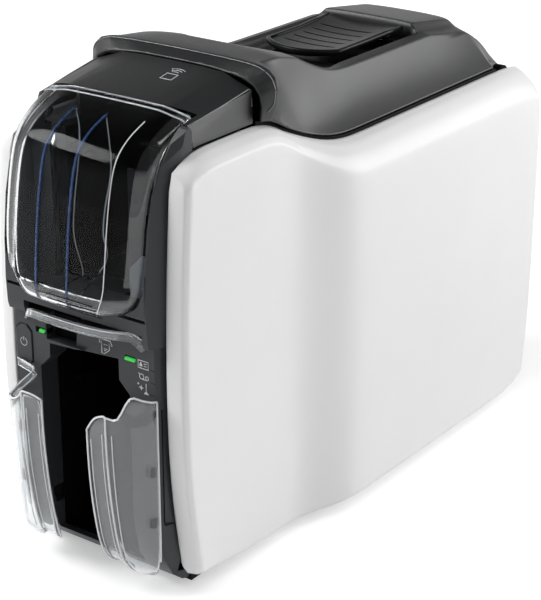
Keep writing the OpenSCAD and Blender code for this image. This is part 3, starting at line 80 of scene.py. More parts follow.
def mouldedPlastic(name, colour, rough, grain, grainHeight, specular=0.5, mottle=0.06):
    # Injection-moulded plastic: even colour with a faint cloud in it and the grain of the mould's face, which
    # breaks the shine into a soft sheen. grain is the spacing of that texture in mm and grainHeight its height;
    # a real mould's is finer than most of these, which are drawn as coarse as they need to show.
    mat = bpy.data.materials.new(name)
    mat.use_nodes = True
    tree = mat.node_tree
    shader = tree.nodes["Principled BSDF"]
    coords = addNode(tree, "ShaderNodeTexCoord").outputs["Object"]
    cloud = addNode(tree, "ShaderNodeTexNoise", {"Vector": coords, "Scale": 22.0, "Detail": 3.0})
    base = hexColour(colour)
    ramp = addNode(tree, "ShaderNodeValToRGB", {"Fac": cloud.outputs["Fac"]})
    ramp.color_ramp.elements[0].position = 0.3
    ramp.color_ramp.elements[0].color = tuple(c * (1 - mottle) for c in base[:3]) + (1,)
    ramp.color_ramp.elements[1].position = 0.7
    ramp.color_ramp.elements[1].color = tuple(min(1, c * (1 + mottle)) for c in base[:3]) + (1,)
    tree.links.new(ramp.outputs["Color"], shader.inputs["Base Color"])
    grainTex = addNode(tree, "ShaderNodeTexNoise", {"Vector": coords, "Scale": 1 / (grain * mm), "Detail": 2.0})
    roughness = addNode(tree, "ShaderNodeMapRange", {
        "Value": grainTex.outputs["Fac"], "From Min": 0.3, "From Max": 0.7,
        "To Min": rough - 0.05, "To Max": rough + 0.05})
    tree.links.new(roughness.outputs["Result"], shader.inputs["Roughness"])
    bump = addNode(tree, "ShaderNodeBump", {
        "Height": grainTex.outputs["Fac"], "Strength": 1.0, "Distance": grainHeight * mm})
    tree.links.new(bump.outputs["Normal"], shader.inputs["Normal"])
    shader.inputs["Specular IOR Level"].default_value = specular
    return mat


def clearPlastic(name, colour, rough, ior=1.58, ripples=0.02, clear=1.0):
    # Clear polycarbonate: polished, so that it mirrors sharply, with the slight ripple that moulding leaves in
    # thin walls. ripples is their height in mm; clear is the share of light that passes through.
    mat = bpy.data.materials.new(name)
    mat.use_nodes = True
    tree = mat.node_tree
    shader = tree.nodes["Principled BSDF"]
    shader.inputs["Base Color"].default_value = hexColour(colour)
    shader.inputs["Transmission Weight"].default_value = clear
    shader.inputs["IOR"].default_value = ior
    coords = addNode(tree, "ShaderNodeTexCoord").outputs["Object"]
    ripple = addNode(tree, "ShaderNodeTexNoise", {"Vector": coords, "Scale": 28.0, "Detail": 1.0})
    bump = addNode(tree, "ShaderNodeBump", {
        "Height": ripple.outputs["Fac"], "Strength": 0.35, "Distance": ripples * mm})
    tree.links.new(bump.outputs["Normal"], shader.inputs["Normal"])
    haze = addNode(tree, "ShaderNodeTexNoise", {"Vector": coords, "Scale": 160.0, "Detail": 2.0})
    spread = addNode(tree, "ShaderNodeMapRange", {
        "Value": haze.outputs["Fac"], "From Min": 0.35, "From Max": 0.75,
        "To Min": rough, "To Max": rough + 0.006})
    tree.links.new(spread.outputs["Result"], shader.inputs["Roughness"])
    return mat


def metal(name, colour, rough, along, spacing, depth):
    # Metal with the fine lines of rolling, turning or extrusion along one axis, which draw its shine out across
    # them. spacing and depth of the lines are in mm.
    mat = bpy.data.materials.new(name)
    mat.use_nodes = True
    tree = mat.node_tree
    shader = tree.nodes["Principled BSDF"]
    shader.inputs["Metallic"].default_value = 1.0
    shader.inputs["Base Color"].default_value = hexColour(colour)
    coords = addNode(tree, "ShaderNodeTexCoord").outputs["Object"]
    squeeze = addNode(tree, "ShaderNodeMapping", {
        "Vector": coords, "Scale": tuple(0.04 if axis == along else 1.0 for axis in "XYZ")})
    lines = addNode(tree, "ShaderNodeTexNoise", {
        "Vector": squeeze.outputs["Vector"], "Scale": 1 / (spacing * mm), "Detail": 3.0})
    bump = addNode(tree, "ShaderNodeBump", {"Height": lines.outputs["Fac"], "Strength": 0.6, "Distance": depth * mm})
    tree.links.new(bump.outputs["Normal"], shader.inputs["Normal"])
    spread = addNode(tree, "ShaderNodeMapRange", {
        "Value": lines.outputs["Fac"], "From Min": 0.3, "From Max": 0.7,
        "To Min": rough - 0.07, "To Max": rough + 0.07})
    tree.links.new(spread.outputs["Result"], shader.inputs["Roughness"])
    return mat


def glow(name, colour, core, strength):
    # Light pipe lit from behind: its own colour under the lamps and an even glow of core over it
    mat = mouldedPlastic(name, colour, 0.2, 1.5, 0.01)
    shader = mat.node_tree.nodes["Principled BSDF"]
    shader.inputs["Emission Color"].default_value = hexColour(core)
    shader.inputs["Emission Strength"].default_value = strength
    return mat


# Materials: name, colour, roughness, then the grain's spacing and height
whiteAbs = mouldedPlastic("white satin ABS", "#EFEFEF", 0.34, 0.5, 0.006, specular=0.35, mottle=0.008)
blackTexturedAbs = mouldedPlastic("black spark-textured ABS", "#17181A", 0.42, 0.55, 0.05, specular=0.5)
blackSmoothAbs = mouldedPlastic("black fine-moulded ABS", "#101112", 0.3, 0.35, 0.012, specular=0.12)
bezelAbs = mouldedPlastic("dark grey satin ABS", "#3A3C3F", 0.36, 0.4, 0.003, specular=0.22)
hopperAbs = mouldedPlastic("charcoal ABS", "#151618", 0.75, 3.0, 0.003, specular=0.04)
innerAbs = mouldedPlastic("plain black ABS", "#0A0A0B", 0.6, 2.0, 0.01, specular=0.08)
slateAbs = mouldedPlastic("slate grey satin ABS", "#4C5156", 0.45, 0.5, 0.004, specular=0.2)
cartridgeAbs = mouldedPlastic("slate grey ABS", "#34383D", 0.45, 0.5, 0.015)
clearDoorPc = clearPlastic("clear polycarbonate", "#F1F4F6", 0.0, ior=1.13, ripples=0.004)
clearEdgePc = clearPlastic("clear polycarbonate at the curls", "#F4F6F8", 0.0, ior=1.5)
clearWingPc = clearPlastic("light grey clear polycarbonate", "#E4E8EB", 0.0, ripples=0.008, clear=0.93)
# Whitened clear plastic that paints the highlight on thick clear edges
clearRimPaintedHighlightPc = clearPlastic("thick clear polycarbonate whitened as painted highlight", "#EEF3F7", 0.03, clear=0.6)
# Near-opaque white that paints the glint on clear edges
paintedGlintPc = clearPlastic("polycarbonate edge painted white as glint", "#F6F8FA", 0.06, ripples=0.004, clear=0.2)
# Light grey that paints the highlight on black edges
paintedHighlightEdge = mouldedPlastic("black ABS edge painted light grey as highlight", "#8F9194", 0.3, 0.5, 0.01, specular=0.6)
# Blue that paints the light carried in a clear edge
paintedEdgeLightPc = mouldedPlastic("polycarbonate edge painted blue as light in it", "#2C4877", 0.25, 2.0, 0.005, specular=0.4)
greenPipe = glow("green light pipe", "#1E6B1E", "#2FE052", 0.55)
# Black that paints shade in gaps, holes and pockets, also the ink of the panel's ticks
paintedShadeAndTickBlack = mouldedPlastic("black for painted shade and ticks", "#050505", 0.7, 0.6, 0.01, specular=0.05)
inkMark = mouldedPlastic("pale grey pad print", "#C9CBCD", 0.5, 0.3, 0.005)
rubber = mouldedPlastic("black moulded rubber", "#131313", 0.75, 0.8, 0.05, specular=0.25)
rollerRubber = mouldedPlastic("ground roller rubber", "#3A3A3D", 0.7, 0.25, 0.03, specular=0.3)
tackyRoller = mouldedPlastic("tacky polyurethane", "#C2C75A", 0.3, 1.2, 0.02)
zincSheet = metal("zinc-plated steel sheet", "#B4B7BA", 0.34, "Y", 0.25, 0.01)
groundSteel = metal("ground steel", "#C0C2C4", 0.22, "X", 0.12, 0.006)
motorCan = metal("drawn steel can", "#8F9295", 0.38, "X", 0.3, 0.01)
extrusion = metal("extruded aluminium", "#C9CBCC", 0.3, "X", 0.3, 0.01)
ceramic = mouldedPlastic("glazed ceramic", "#6E5232", 0.15, 1.0, 0.005)
acetal = mouldedPlastic("natural acetal", "#DCD8CB", 0.4, 0.8, 0.01)
dyeFilm = mouldedPlastic("dye film", "#3B2B52", 0.18, 2.0, 0.01)
beltRubber = mouldedPlastic("fabric-backed belt rubber", "#161616", 0.7, 0.4, 0.05)
solderMask = mouldedPlastic("green solder mask", "#1D5E35", 0.3, 1.4, 0.03)
print("materials made:", len(bpy.data.materials))

finishes = {
    "base_tray": innerAbs, "feet": rubber, "side_frame_left": zincSheet, "side_frame_right": zincSheet,
    "frame_screws": groundSteel, "side_panel_left": whiteAbs, "side_panel_right": whiteAbs,
    "deck_rim": innerAbs, "rear_panel": blackTexturedAbs, "lower_bezel": bezelAbs, "door_surround": bezelAbs,
    "front_cap": blackTexturedAbs, "slot_guide": clearDoorPc, "status_light_left": greenPipe,
    "status_light_right": greenPipe, "power_button": bezelAbs, "button_switch": solderMask,
    "feeder_door": clearDoorPc, "hopper_bin": hopperAbs, "card_weight": hopperAbs, "output_bin": innerAbs,
    "output_wing_left": clearWingPc, "output_wing_right": clearWingPc, "lid_shell": blackTexturedAbs,
    "lid_frame": innerAbs, "hinge_pins": groundSteel, "pad_dish": blackSmoothAbs, "release_pad": blackSmoothAbs,
    "pad_pin": groundSteel, "latch_bail": groundSteel, "head_bracket": innerAbs, "head_heatsink": extrusion,
    "printhead": ceramic, "cartridge_frame": cartridgeAbs, "supply_spool": acetal, "supply_roll": dyeFilm,
    "takeup_spool": acetal, "takeup_roll": dyeFilm, "ribbon_film": dyeFilm, "pick_shaft": groundSteel,
    "pick_tyre": rollerRubber, "infeed_shaft": groundSteel, "infeed_sleeve": rollerRubber,
    "cleaning_roller": tackyRoller, "platen_shaft": groundSteel, "platen_sleeve": rollerRubber,
    "outfeed_shaft": groundSteel, "outfeed_sleeve": rollerRubber, "shaft_bushes": acetal,
    "drive_belt": beltRubber, "transport_motor": motorCan, "motor_shaft": groundSteel, "ribbon_motor": motorCan,
    "main_board": solderMask, "usb_socket": zincSheet, "network_socket": zincSheet, "power_inlet": innerAbs,
}


for nodeName, mat in finishes.items():
    nodes[nodeName].data.materials.clear()
    nodes[nodeName].data.materials.append(mat)
print("CAD pieces finished:", len(finishes))

weldReach = 0.01 * mm  # corners of a CAD mesh that are nearer than this are one corner


def skinOf(nodeName, pieceName, body, mat, shell):
    # Smooth copy of a moulded CAD shell: doubles merged, quads restored, edges of the wall kept crisp
    mesh = nodes[nodeName].data.copy()
    mesh.name = pieceName
    bm = bmesh.new()
    bm.from_mesh(mesh)
    bmesh.ops.remove_doubles(bm, verts=bm.verts, dist=weldReach)
    bmesh.ops.join_triangles(bm, faces=bm.faces, cmp_seam=False, cmp_sharp=False, cmp_uvs=False,
                             cmp_vcols=False, cmp_materials=False,
                             angle_face_threshold=math.radians(60), angle_shape_threshold=math.radians(120))
    crease = bm.edges.layers.float.get("crease_edge") or bm.edges.layers.float.new("crease_edge")
    for e in bm.edges:
        if len(e.link_faces) == 2 and e.calc_face_angle() > math.radians(shell["sharp"]):
            e[crease] = shell["hold"]
    for f in bm.faces:
        f.smooth = True
    bm.to_mesh(mesh)
    bm.free()
    mesh.materials.clear()
    mesh.materials.append(mat)
    piece = bpy.data.objects.new(pieceName, mesh)
    scene.collection.objects.link(piece)
    sub = piece.modifiers.new("surface", "SUBSURF")
    sub.levels = sub.render_levels = shell["levels"]
    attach(piece, body)
    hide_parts(nodeName)
    return piece


# Shells: an edge where the faces turn by more than sharp degrees keeps the share hold of its crispness
panelShell = {"sharp": 17, "hold": 0.7, "levels": 2}
lidShell = {"sharp": 14, "hold": 0.9, "levels": 2}
for side in ("left", "right"):
    skin = skinOf("side_panel_" + side, "panelSkin_" + side, "chassis", whiteAbs, panelShell)
lidSkin = skinOf("lid_shell", "lidSkin", "lid", blackTexturedAbs, lidShell)
print("shells done")


def lerp(a, b, t):
    # Part of the way t from a to b
    return a + (b - a) * t


def lookup(x, table):
    # Straight-line value from rows of (position, value)
    if x <= table[0][0]:
        return table[0][1]
    for low, high in zip(table, table[1:]):
        if x <= high[0]:
            return lerp(low[1], high[1], (x - low[0]) / (high[0] - low[0]))
    return table[-1][1]


def easeIn(a, b, x):
    # 0 up to a and 1 from b on, with a soft start and end between them
    t = min(max((x - a) / (b - a), 0), 1)
    return t * t * (3 - 2 * t)


def mirrored(half):
    # Whole run from its right half, the first point of which is on the middle plane
    return [(-x, y, z) for x, y, z in half[:0:-1]] + half


def meshFrom(bm, name):
    mesh = bpy.data.meshes.new(name)
    bm.to_mesh(mesh)
    bm.free()
    return mesh


def addPiece(pieceName, mesh, body, mat, stands=()):
    # New piece that rides on a body and may stand for CAD nodes
    mesh.materials.append(mat)
    piece = bpy.data.objects.new(pieceName, mesh)
    scene.collection.objects.link(piece)
    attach(piece, body)
    if stands:
        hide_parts(*stands)
    return piece


def polishOf(nodeName, pieceName, body, mat, width, angle=28, steps=2):
    # Copy of a CAD piece with welded corners, smooth curves and moulded radii of width mm on its corners
    mesh = nodes[nodeName].data.copy()
    mesh.name = pieceName
    bm = bmesh.new()
    bm.from_mesh(mesh)
    bmesh.ops.remove_doubles(bm, verts=bm.verts, dist=weldReach)
    bmesh.ops.dissolve_limit(bm, angle_limit=math.radians(0.8), verts=bm.verts, edges=bm.edges)
    for f in bm.faces:
        f.smooth = True
    for e in bm.edges:
        e.smooth = len(e.link_faces) == 2 and e.calc_face_angle() < math.radians(angle)
    bm.to_mesh(mesh)
    bm.free()
    mesh.materials.clear()
    piece = addPiece(pieceName, mesh, body, mat, [nodeName])
    bevel = piece.modifiers.new("radii", "BEVEL")
    bevel.width = width * mm
    bevel.segments = steps
    bevel.limit_method = "ANGLE"
    bevel.angle_limit = math.radians(angle)
    bevel.use_clamp_overlap = True
    return piece


def growRows(bm, rows, ring=False):
    # A run of edges through the first row, extruded from row to row; gives the first and last edges
    line = [bm.verts.new(Vector(p) * mm) for p in rows[0]]
    edges = [bm.edges.new(pair) for pair in zip(line, line[1:] + line[:1] * ring)]
    first = edges
    for row in rows[1:]:
        grown = bmesh.ops.extrude_edge_only(bm, edges=edges)["geom"]
        fresh = {v for v in grown if isinstance(v, bmesh.types.BMVert)}
        edges = [e for e in grown if isinstance(e, bmesh.types.BMEdge) and fresh.issuperset(e.verts)]
        line = [next(e.other_vert(v) for e in v.link_edges if e.other_vert(v) in fresh) for v in line]
        for v, p in zip(line, row):
            v.co = Vector(p) * mm
    return first, edges


def prism(bm, outline, rise):
    # Flat outline in mm extruded along rise
    face = bm.faces.new([bm.verts.new(Vector(p) * mm) for p in outline])
    grown = bmesh.ops.extrude_face_region(bm, geom=[face])["geom"]
    bmesh.ops.translate(bm, verts=[v for v in grown if isinstance(v, bmesh.types.BMVert)], vec=rise * mm)


def clearSheet(pieceName, grid, thick, body, mat, stands, facing, curl=None):
    # Thin moulded wall through a grid of points, smooth between them and crisp at its rim; curl tells which
    # places of it take the brighter plastic of the curls
    bm = bmesh.new()
    growRows(bm, grid)
    if sum((f.normal_update() or f.normal for f in bm.faces), Vector()).dot(Vector(facing)) < 0:
        bmesh.ops.reverse_faces(bm, faces=bm.faces)
    for f in bm.faces:
        f.smooth = True
        f.material_index = int(bool(curl) and curl(f.calc_center_median() / mm))
    piece = addPiece(pieceName, meshFrom(bm, pieceName), body, mat, stands)
    if curl:
        piece.data.materials.append(clearEdgePc)
    wall = piece.modifiers.new("wall", "SOLIDIFY")
    wall.thickness = thick * mm
    wall.offset = -1
    wall.edge_crease_rim = 0.75
    wall.use_even_offset = True
    sub = piece.modifiers.new("surface", "SUBSURF")
    sub.levels = sub.render_levels = 2
    return piece


def sweep(bm, points, width, height, up, sides=8, square=2.0):
    # Oval bar along a run of points, in mm; up is the direction of its height, and square makes it boxier from 2 up
    pts = [Vector(p) for p in points]
    last = len(pts) - 1
    rings = []
    for k, p in enumerate(pts):
        along = (pts[min(k + 1, last)] - pts[max(k - 1, 0)]).normalized()
        side = along.cross(Vector(up)).normalized()
        top = side.cross(along)
        stretch = 1.0  # wider at a bend, so that the bar keeps its width through it
        if 0 < k < last:
            leave = (pts[k + 1] - p).normalized()
            stretch = min(1 / max(along.dot(leave), 0.5), 1.5)
        ring = []
        for j in range(sides):
            a = 2 * math.pi * (j + 0.5) / sides
            u = math.copysign(abs(math.cos(a)) ** (2 / square), math.cos(a))
            v = math.copysign(abs(math.sin(a)) ** (2 / square), math.sin(a))
            ring.append(p + side * u * width / 2 * stretch + top * v * height / 2)
        rings.append(ring)
    ends = growRows(bm, rings, ring=True)
    for f in bm.faces:
        f.smooth = len(f.verts) == 4
    for edges in ends:
        bmesh.ops.contextual_create(bm, geom=edges)


def bars(pieceName, runs, body, mat, **shape):
    # One piece from several swept runs of points
    bm = bmesh.new()
    for points in runs:
        sweep(bm, points, **shape)
    bmesh.ops.recalc_face_normals(bm, faces=bm.faces)
    return addPiece(pieceName, meshFrom(bm, pieceName), body, mat)


def smoothRun(points, steps=6):
    # Catmull-Rom curve through the points
    pts = [Vector(p) for p in points]
    run = []
    for k in range(len(pts) - 1):
        a, b, c, d = pts[max(k - 1, 0)], pts[k], pts[k + 1], pts[min(k + 2, len(pts) - 1)]
        for i in range(steps):
            t = i / steps
            run.append(0.5 * (2 * b + (c - a) * t + (2 * a - 5 * b + 4 * c - d) * t * t
                              + (3 * b - a - 3 * c + d) * t ** 3))
    return run + [pts[-1]]


def arc(cx, cy, r, a0, a1, steps=14):
    # Points round a circle from a0 to a1 degrees
    return [(cx + r * math.cos(math.radians(lerp(a0, a1, k / steps))),
             cy + r * math.sin(math.radians(lerp(a0, a1, k / steps)))) for k in range(steps + 1)]


# Pad print in mm: how thick a line is and how far it is let in or out, the same for a filled outline, and the
# height from which a plane is let down on to a piece
ink = {"lineThick": 0.12, "lineOut": 0.02, "fillThick": 0.11, "fillIn": 0.05, "dropFrom": 20, "dropSpan": 3}


def printMark(pieceName, body, origin, right, up, lines=(), fills=(), width=0.5, mat=inkMark, onto=None):
    # Lines and filled outlines in mm on a plane, less than a tenth of a millimetre proud; onto is a piece that
    # the plane is let down on to
    o, u, v = Vector(origin), Vector(right).normalized(), Vector(up).normalized()
    n = u.cross(v)
    if onto:
        tree = BVHTree.FromPolygons([p.co for p in onto.data.vertices], [p.vertices for p in onto.data.polygons])
        span = ink["dropSpan"]
        hits = [tree.ray_cast((o + u * x + v * y + n * ink["dropFrom"]) * mm, -n)
                for x, y in ((0, 0), (span, 0), (0, span))]
        a, b, c = [hit[0] / mm for hit in hits]
        o, u, v = a, (b - a).normalized(), (c - a).normalized()
        n = u.cross(v).normalized()
    bm = bmesh.new()
    for run in lines:
        sweep(bm, [o + u * x + v * y + n * ink["lineOut"] for x, y in run], width, ink["lineThick"], n, sides=6)
    for outline in fills:
        prism(bm, [o + u * x + v * y - n * ink["fillIn"] for x, y in outline], n * ink["fillThick"])
    bmesh.ops.recalc_face_normals(bm, faces=bm.faces)
    return addPiece(pieceName, meshFrom(bm, pieceName), body, mat)


# Feeder door, in mm and degrees. rows run down from the top edge: y and z off the hinge, and the slope there.
# cols run out from the middle: share of the half width, and how far the skin is set back there; the set-back is cut
# down to topShare where the door lies flat, and to footDepth by the height footZ. taper narrows the half width by
# height. Skin below curlBelow or outside curlBeside is the brighter plastic of the curls. line is the column of the
# skin along which a white bar paints a highlight; hatches are x from and to, y and z; a fin is its x and its rear
# outline.
door = {
    "halfWidth": 46.8, "hingeY": -134, "hingeZ": 251, "wall": 2.0,
    "rows": [(5.2, 11.9, 0), (2.6, 11.9, 4), (0, 11.3, 8), (-11, 8.3, 24), (-21, 4.4, 40), (-29, -0.4, 54),
             (-34.6, -6.4, 67), (-38, -14, 78), (-41, -26, 85), (-43.6, -41, 89), (-45.6, -56, 90), (-47, -71, 90),
             (-47.6, -78, 90), (-47.2, -83, 90), (-45.4, -87, 90), (-42, -89.6, 90), (-36, -90.4, 90)],
    "cols": [(0, 0), (0.25, 0.2), (0.45, 0.6), (0.6, 1.1), (0.655, 1.5), (0.69, 2.3), (0.76, 4.2), (0.85, 6.9),
             (0.93, 9.2), (0.97, 10.8), (0.99, 13), (1, 16)],
    "topShare": 0.27, "wholeSlope": 80, "footFrom": -71, "footZ": -91, "footDepth": 16,
    "taper": [(-91, 16), (-89, 13), (-86, 9.5), (-82, 6), (-78, 3.4), (-71, 1), (-60, 0)],
    "curlBelow": 176, "curlBeside": 41, "beads": (0, 2), "bead": 1.0, "line": 15, "faceRows": slice(3, 15),
    "hatches": [(-12, 24, -48, -80.6), (-6, 26, -47.7, -83), (0, 27, -46.8, -85.2), (5, 28, -45.4, -87)],
    "hatchFall": 0.6, "mark": 0.6, "finInset": 1.6, "finWall": 1.0, "finEdge": 1.5, "finRear": 0.8,
    "fins": {"left": (-15, [(-10, 4.5), (-8.5, -10), (-15, -45), (-16, -62), (-11, -80), (-11, -85)]),
             "right": (6, [(-11, 4.6), (-9, -20), (-15, -42), (-17, -56), (-15, -68), (-21, -75)])},
}


def doorPoint(row, share, setBack):
    slope = math.radians(row[2])
    depth = setBack * lerp(door["topShare"], 1, easeIn(0, door["wholeSlope"], row[2]))
    if row[1] < door["footFrom"]:
        depth = min(depth, door["footDepth"] + row[1] - door["footZ"])
    return (share * (door["halfWidth"] - lookup(row[1], door["taper"])),
            door["hingeY"] + row[0] + depth * math.sin(slope), door["hingeZ"] + row[1] - depth * math.cos(slope))


doorGrid = [mirrored([doorPoint(row, share, setBack) for share, setBack in door["cols"]]) for row in door["rows"]]
clearSheet("doorSkin", doorGrid, door["wall"], "door", clearDoorPc, ["feeder_door"], (0, -1, 0.4),
           curl=lambda c: c.z < door["curlBelow"] or abs(c.x) > door["curlBeside"])
# The beads along the top edge are real, drawn whiter than the clear skin to paint their highlight
bars("doorBead", [smoothRun(doorGrid[k], 2) for k in door["beads"]], "door", clearRimPaintedHighlightPc,
     width=door["bead"], height=door["bead"], up=(0, 0, 1))
# A white bar down the skin's corner column paints the highlight there
bars("doorPaintedHighlight", [smoothRun([row[door["line"]] for row in doorGrid[door["faceRows"]]], 2)], "door", paintedGlintPc,
     width=door["mark"], height=door["mark"], up=(1, 0, 0))
hatches = [[(x0, door["hingeY"] + y, door["hingeZ"] + z),
            (x1, door["hingeY"] + y + door["hatchFall"], door["hingeZ"] + z)] for x0, x1, y, z in door["hatches"]]
bars("doorHatch", hatches, "door", blackSmoothAbs, width=door["mark"], height=door["mark"], up=(0, 0, 1))


def doorFin(side, x, rear):
    # Plate inside the door: from its face back to the rear outline, with a blue bar painted as the light in the edge
    # where they meet; its rear edge is whitened to paint its highlight
    root = [(x, door["hingeY"] + y + door["finInset"] * math.sin(math.radians(slope)),
             door["hingeZ"] + z - door["finInset"] * math.cos(math.radians(slope)))
            for y, z, slope in door["rows"][door["faceRows"]]]
    back = smoothRun([(x, door["hingeY"] + y, door["hingeZ"] + z) for y, z in rear], 4)
    front = smoothRun(root, 4)
    count = min(len(front), len(back))
    front = [front[round(k * (len(front) - 1) / (count - 1))] for k in range(count)]
    back = [back[round(k * (len(back) - 1) / (count - 1))] for k in range(count)]
    bm = bmesh.new()
    growRows(bm, [front, back])
    fin = addPiece("doorFin_" + side, meshFrom(bm, "fin"), "door", clearDoorPc)
    wall = fin.modifiers.new("wall", "SOLIDIFY")
    wall.thickness = door["finWall"] * mm
    wall.offset = 0
    bars("finEdge_" + side, [front], "door", paintedEdgeLightPc, width=door["finEdge"], height=door["finEdge"], up=(1, 0, 0))
    bars("finRear_" + side, [back], "door", clearRimPaintedHighlightPc, width=door["finRear"], height=door["finRear"], up=(1, 0, 0))


for side, (x, rear) in door["fins"].items():
    doorFin(side, x, rear)
print("door done")

# Output wings, in mm. plan is the outline from the bezel round to the lip, tops how high each point of it stands.
# levels go from the foot up: share of the height, how far out the wing has come there, and how much of its width it
# has; root is the x and y that it comes out from. strap closes the left wing's top; shade is a black bar that paints
# shade into the right one's top.
wings = {
    "plan": [(49.4, -163.3), (48.6, -167), (46.6, -171.5), (42, -176), (36, -179), (31, -180.5), (29.3, -181),
             (27.4, -180.9), (21, -180.4), (15.7, -180)],
    "tops": {"left": [97, 97.4, 98, 99.4, 101.6, 105.4, 108.2, 108.6, 108, 106.5],
             "right": [117.6, 118.6, 120.6, 122, 110, 109.5, 109.8, 110, 106.5, 99]},
    "levels": [(0, 0.1, 0.5), (0.012, 0.24, 0.8), (0.04, 0.36, 0.93), (0.1, 0.5, 0.98), (0.2, 0.64, 1),
               (0.34, 0.77, 1), (0.52, 0.89, 1), (0.72, 0.97, 1), (0.9, 1, 1), (1, 1, 1)],
    "root": (33, -163.3), "foot": 13, "tipRaised": 3, "wall": 2.0, "rim": 1.1, "rib": 0.55,
    "clipX": (43.5, 47.2), "clipY": -165.5, "clipZ": (47.5, 77.5), "clip": (3.2, 6),
    "strapRise": [(-43, -174.4, 99), (-39.6, -170.6, 104.6), (-35, -167, 110), (-33.4, -165.6, 112.4)],
    "strapBack": [(-34.6, -165.2, 113.6), (-40, -165, 114.6), (-46, -164.4, 115.4)],
    "strap": (1.6, 4.4), "strapRim": 0.7, "strapRimOut": -0.7, "strapRimUp": 2.0,
    "shadeRun": [(30.5, -170, 106.6), (35, -169, 105), (40, -167.6, 105.6), (44.5, -165.6, 109), (46.6, -164.6, 113)],
    "shade": (1.2, 7),
}
for side, sign in (("left", -1), ("right", 1)):
    rootX, rootY = wings["root"]
    grid = []
    for share, reach, width in wings["levels"]:
        # The point on the bezel stays on it, and the last four points' foot stands a little higher
        grid.append([(sign * lerp(rootX, x, width), lerp(rootY, y, reach) if k else y,
                      lerp(wings["foot"] + wings["tipRaised"] * (k > 5), wings["tops"][side][k], share))
                     for k, (x, y) in enumerate(wings["plan"])])
    clearSheet("wingSkin_" + side, grid, wings["wall"], "chassis", clearWingPc, ["output_wing_" + side], (sign, -1, 0))
    # Rims and ribs are real edges of the wing, drawn as near-opaque white bars that paint their highlight
    rims = [grid[-1], [line[-1] for line in grid], [line[6] for line in grid], [line[0] for line in grid[3:]]]
    inset = [[Vector(line[8]).lerp(Vector(line[9]), 0.5) for line in grid[2:-1]],
             [Vector(line[6]).lerp(Vector(line[8]), 0.34) for line in grid[2:-1]],
             [Vector(line[4]).lerp(Vector(line[5]), 0.7) for line in grid[3:-1]]]
    bars("wingRim_" + side, [smoothRun(run, 3) for run in rims], "chassis", paintedGlintPc,
         width=wings["rim"], height=wings["rim"], up=(0.1, 0.3, 1))
    bars("wingRib_" + side, [smoothRun(run, 3) for run in inset], "chassis", paintedGlintPc,
         width=wings["rib"], height=wings["rib"], up=(0.1, 0.3, 1))
    # Clips that hold the wing to the bezel
    clips = [[(sign * x, wings["clipY"], z) for x in wings["clipX"]] for z in wings["clipZ"]]
    bars("wingClips_" + side, clips, "chassis", innerAbs, width=wings["clip"][0], height=wings["clip"][1],
         up=(0, 0, 1), square=5, sides=12)
# Black bar painted as shade inside the right wing's top
bars("wingPaintedShade_right", [smoothRun(wings["shadeRun"], 4)], "chassis", paintedShadeAndTickBlack,
     width=wings["shade"][0], height=wings["shade"][1], up=(0, 0, 1))
strapRun = smoothRun(wings["strapRise"], 4) + smoothRun(wings["strapBack"], 3)
bars("wingHook_left", [strapRun], "chassis", clearWingPc, width=wings["strap"][0], height=wings["strap"][1],
     up=(0, 0, 1))
# White bars along the strap's upper and lower edges paint their highlight
strapRims = [[p + Vector((0, wings["strapRimOut"], sign * wings["strapRimUp"])) for p in strapRun] for sign in (1, -1)]
bars("wingHookRim_left", strapRims, "chassis", paintedGlintPc, width=wings["strapRim"], height=wings["strapRim"],
     up=(0, 0, 1))
print("wings done")

# Black and grey mouldings: the radii on their corners, in mm
radii = {"cap": 0.6, "surround": 0.8, "bezel": 0.5, "button": 0.4, "rim": 0.4}
capSkin = polishOf("front_cap", "capSkin", "chassis", blackTexturedAbs, radii["cap"])

# Light grey bars that paint the highlight on moulded edges: down both sides of the cap and round the lid's arch
litEdges = {
    "capRun": [(49.7, -131, 257.7), (50.9, -109.4, 261.3), (51.3, -86.8, 265.1), (51.9, -85.9, 264.3),
               (52.5, -85.7, 256)],
    "archHalf": [(0, -77.6, 276.3), (15, -77.6, 276.2), (30, -77.6, 276), (44.3, -77.6, 275.4), (52.3, -77.9, 274.2),
                 (58.7, -78.1, 270.9), (60.9, -78.2, 267.5), (61.7, -77.8, 264), (61.6, -78, 260.6),
                 (60.9, -78.6, 256.2), (59.2, -80.8, 252.8)],
    "cap": 0.5, "arch": 0.45,
}
bars("capEdgePaintedHighlight", [litEdges["capRun"], [(-x, y, z) for x, y, z in litEdges["capRun"]]], "chassis", paintedHighlightEdge,
     width=litEdges["cap"], height=litEdges["cap"], up=(0, 0, 1))
bars("archEdgePaintedHighlight", [smoothRun(mirrored(litEdges["archHalf"]), 4)], "lid", paintedHighlightEdge,
     width=litEdges["arch"], height=litEdges["arch"], up=(0, -1, 1))

# Door surround. Its left post ends lower than the solid's, where the door hides it
leftPost = {"x": -47, "y": -128, "from": 238, "span": 20, "down": 8, "back": 5}
surround = polishOf("door_surround", "surroundSkin", "chassis", bezelAbs, radii["surround"])
for v in surround.data.vertices:
    if v.co.x < leftPost["x"] * mm and v.co.z > leftPost["from"] * mm and v.co.y < leftPost["y"] * mm:
        drop = (v.co.z - leftPost["from"] * mm) / (leftPost["span"] * mm)
        v.co.z -= leftPost["down"] * mm * drop
        v.co.y += leftPost["back"] * mm * drop
polishOf("lower_bezel", "bezelSkin", "chassis", bezelAbs, radii["bezel"])

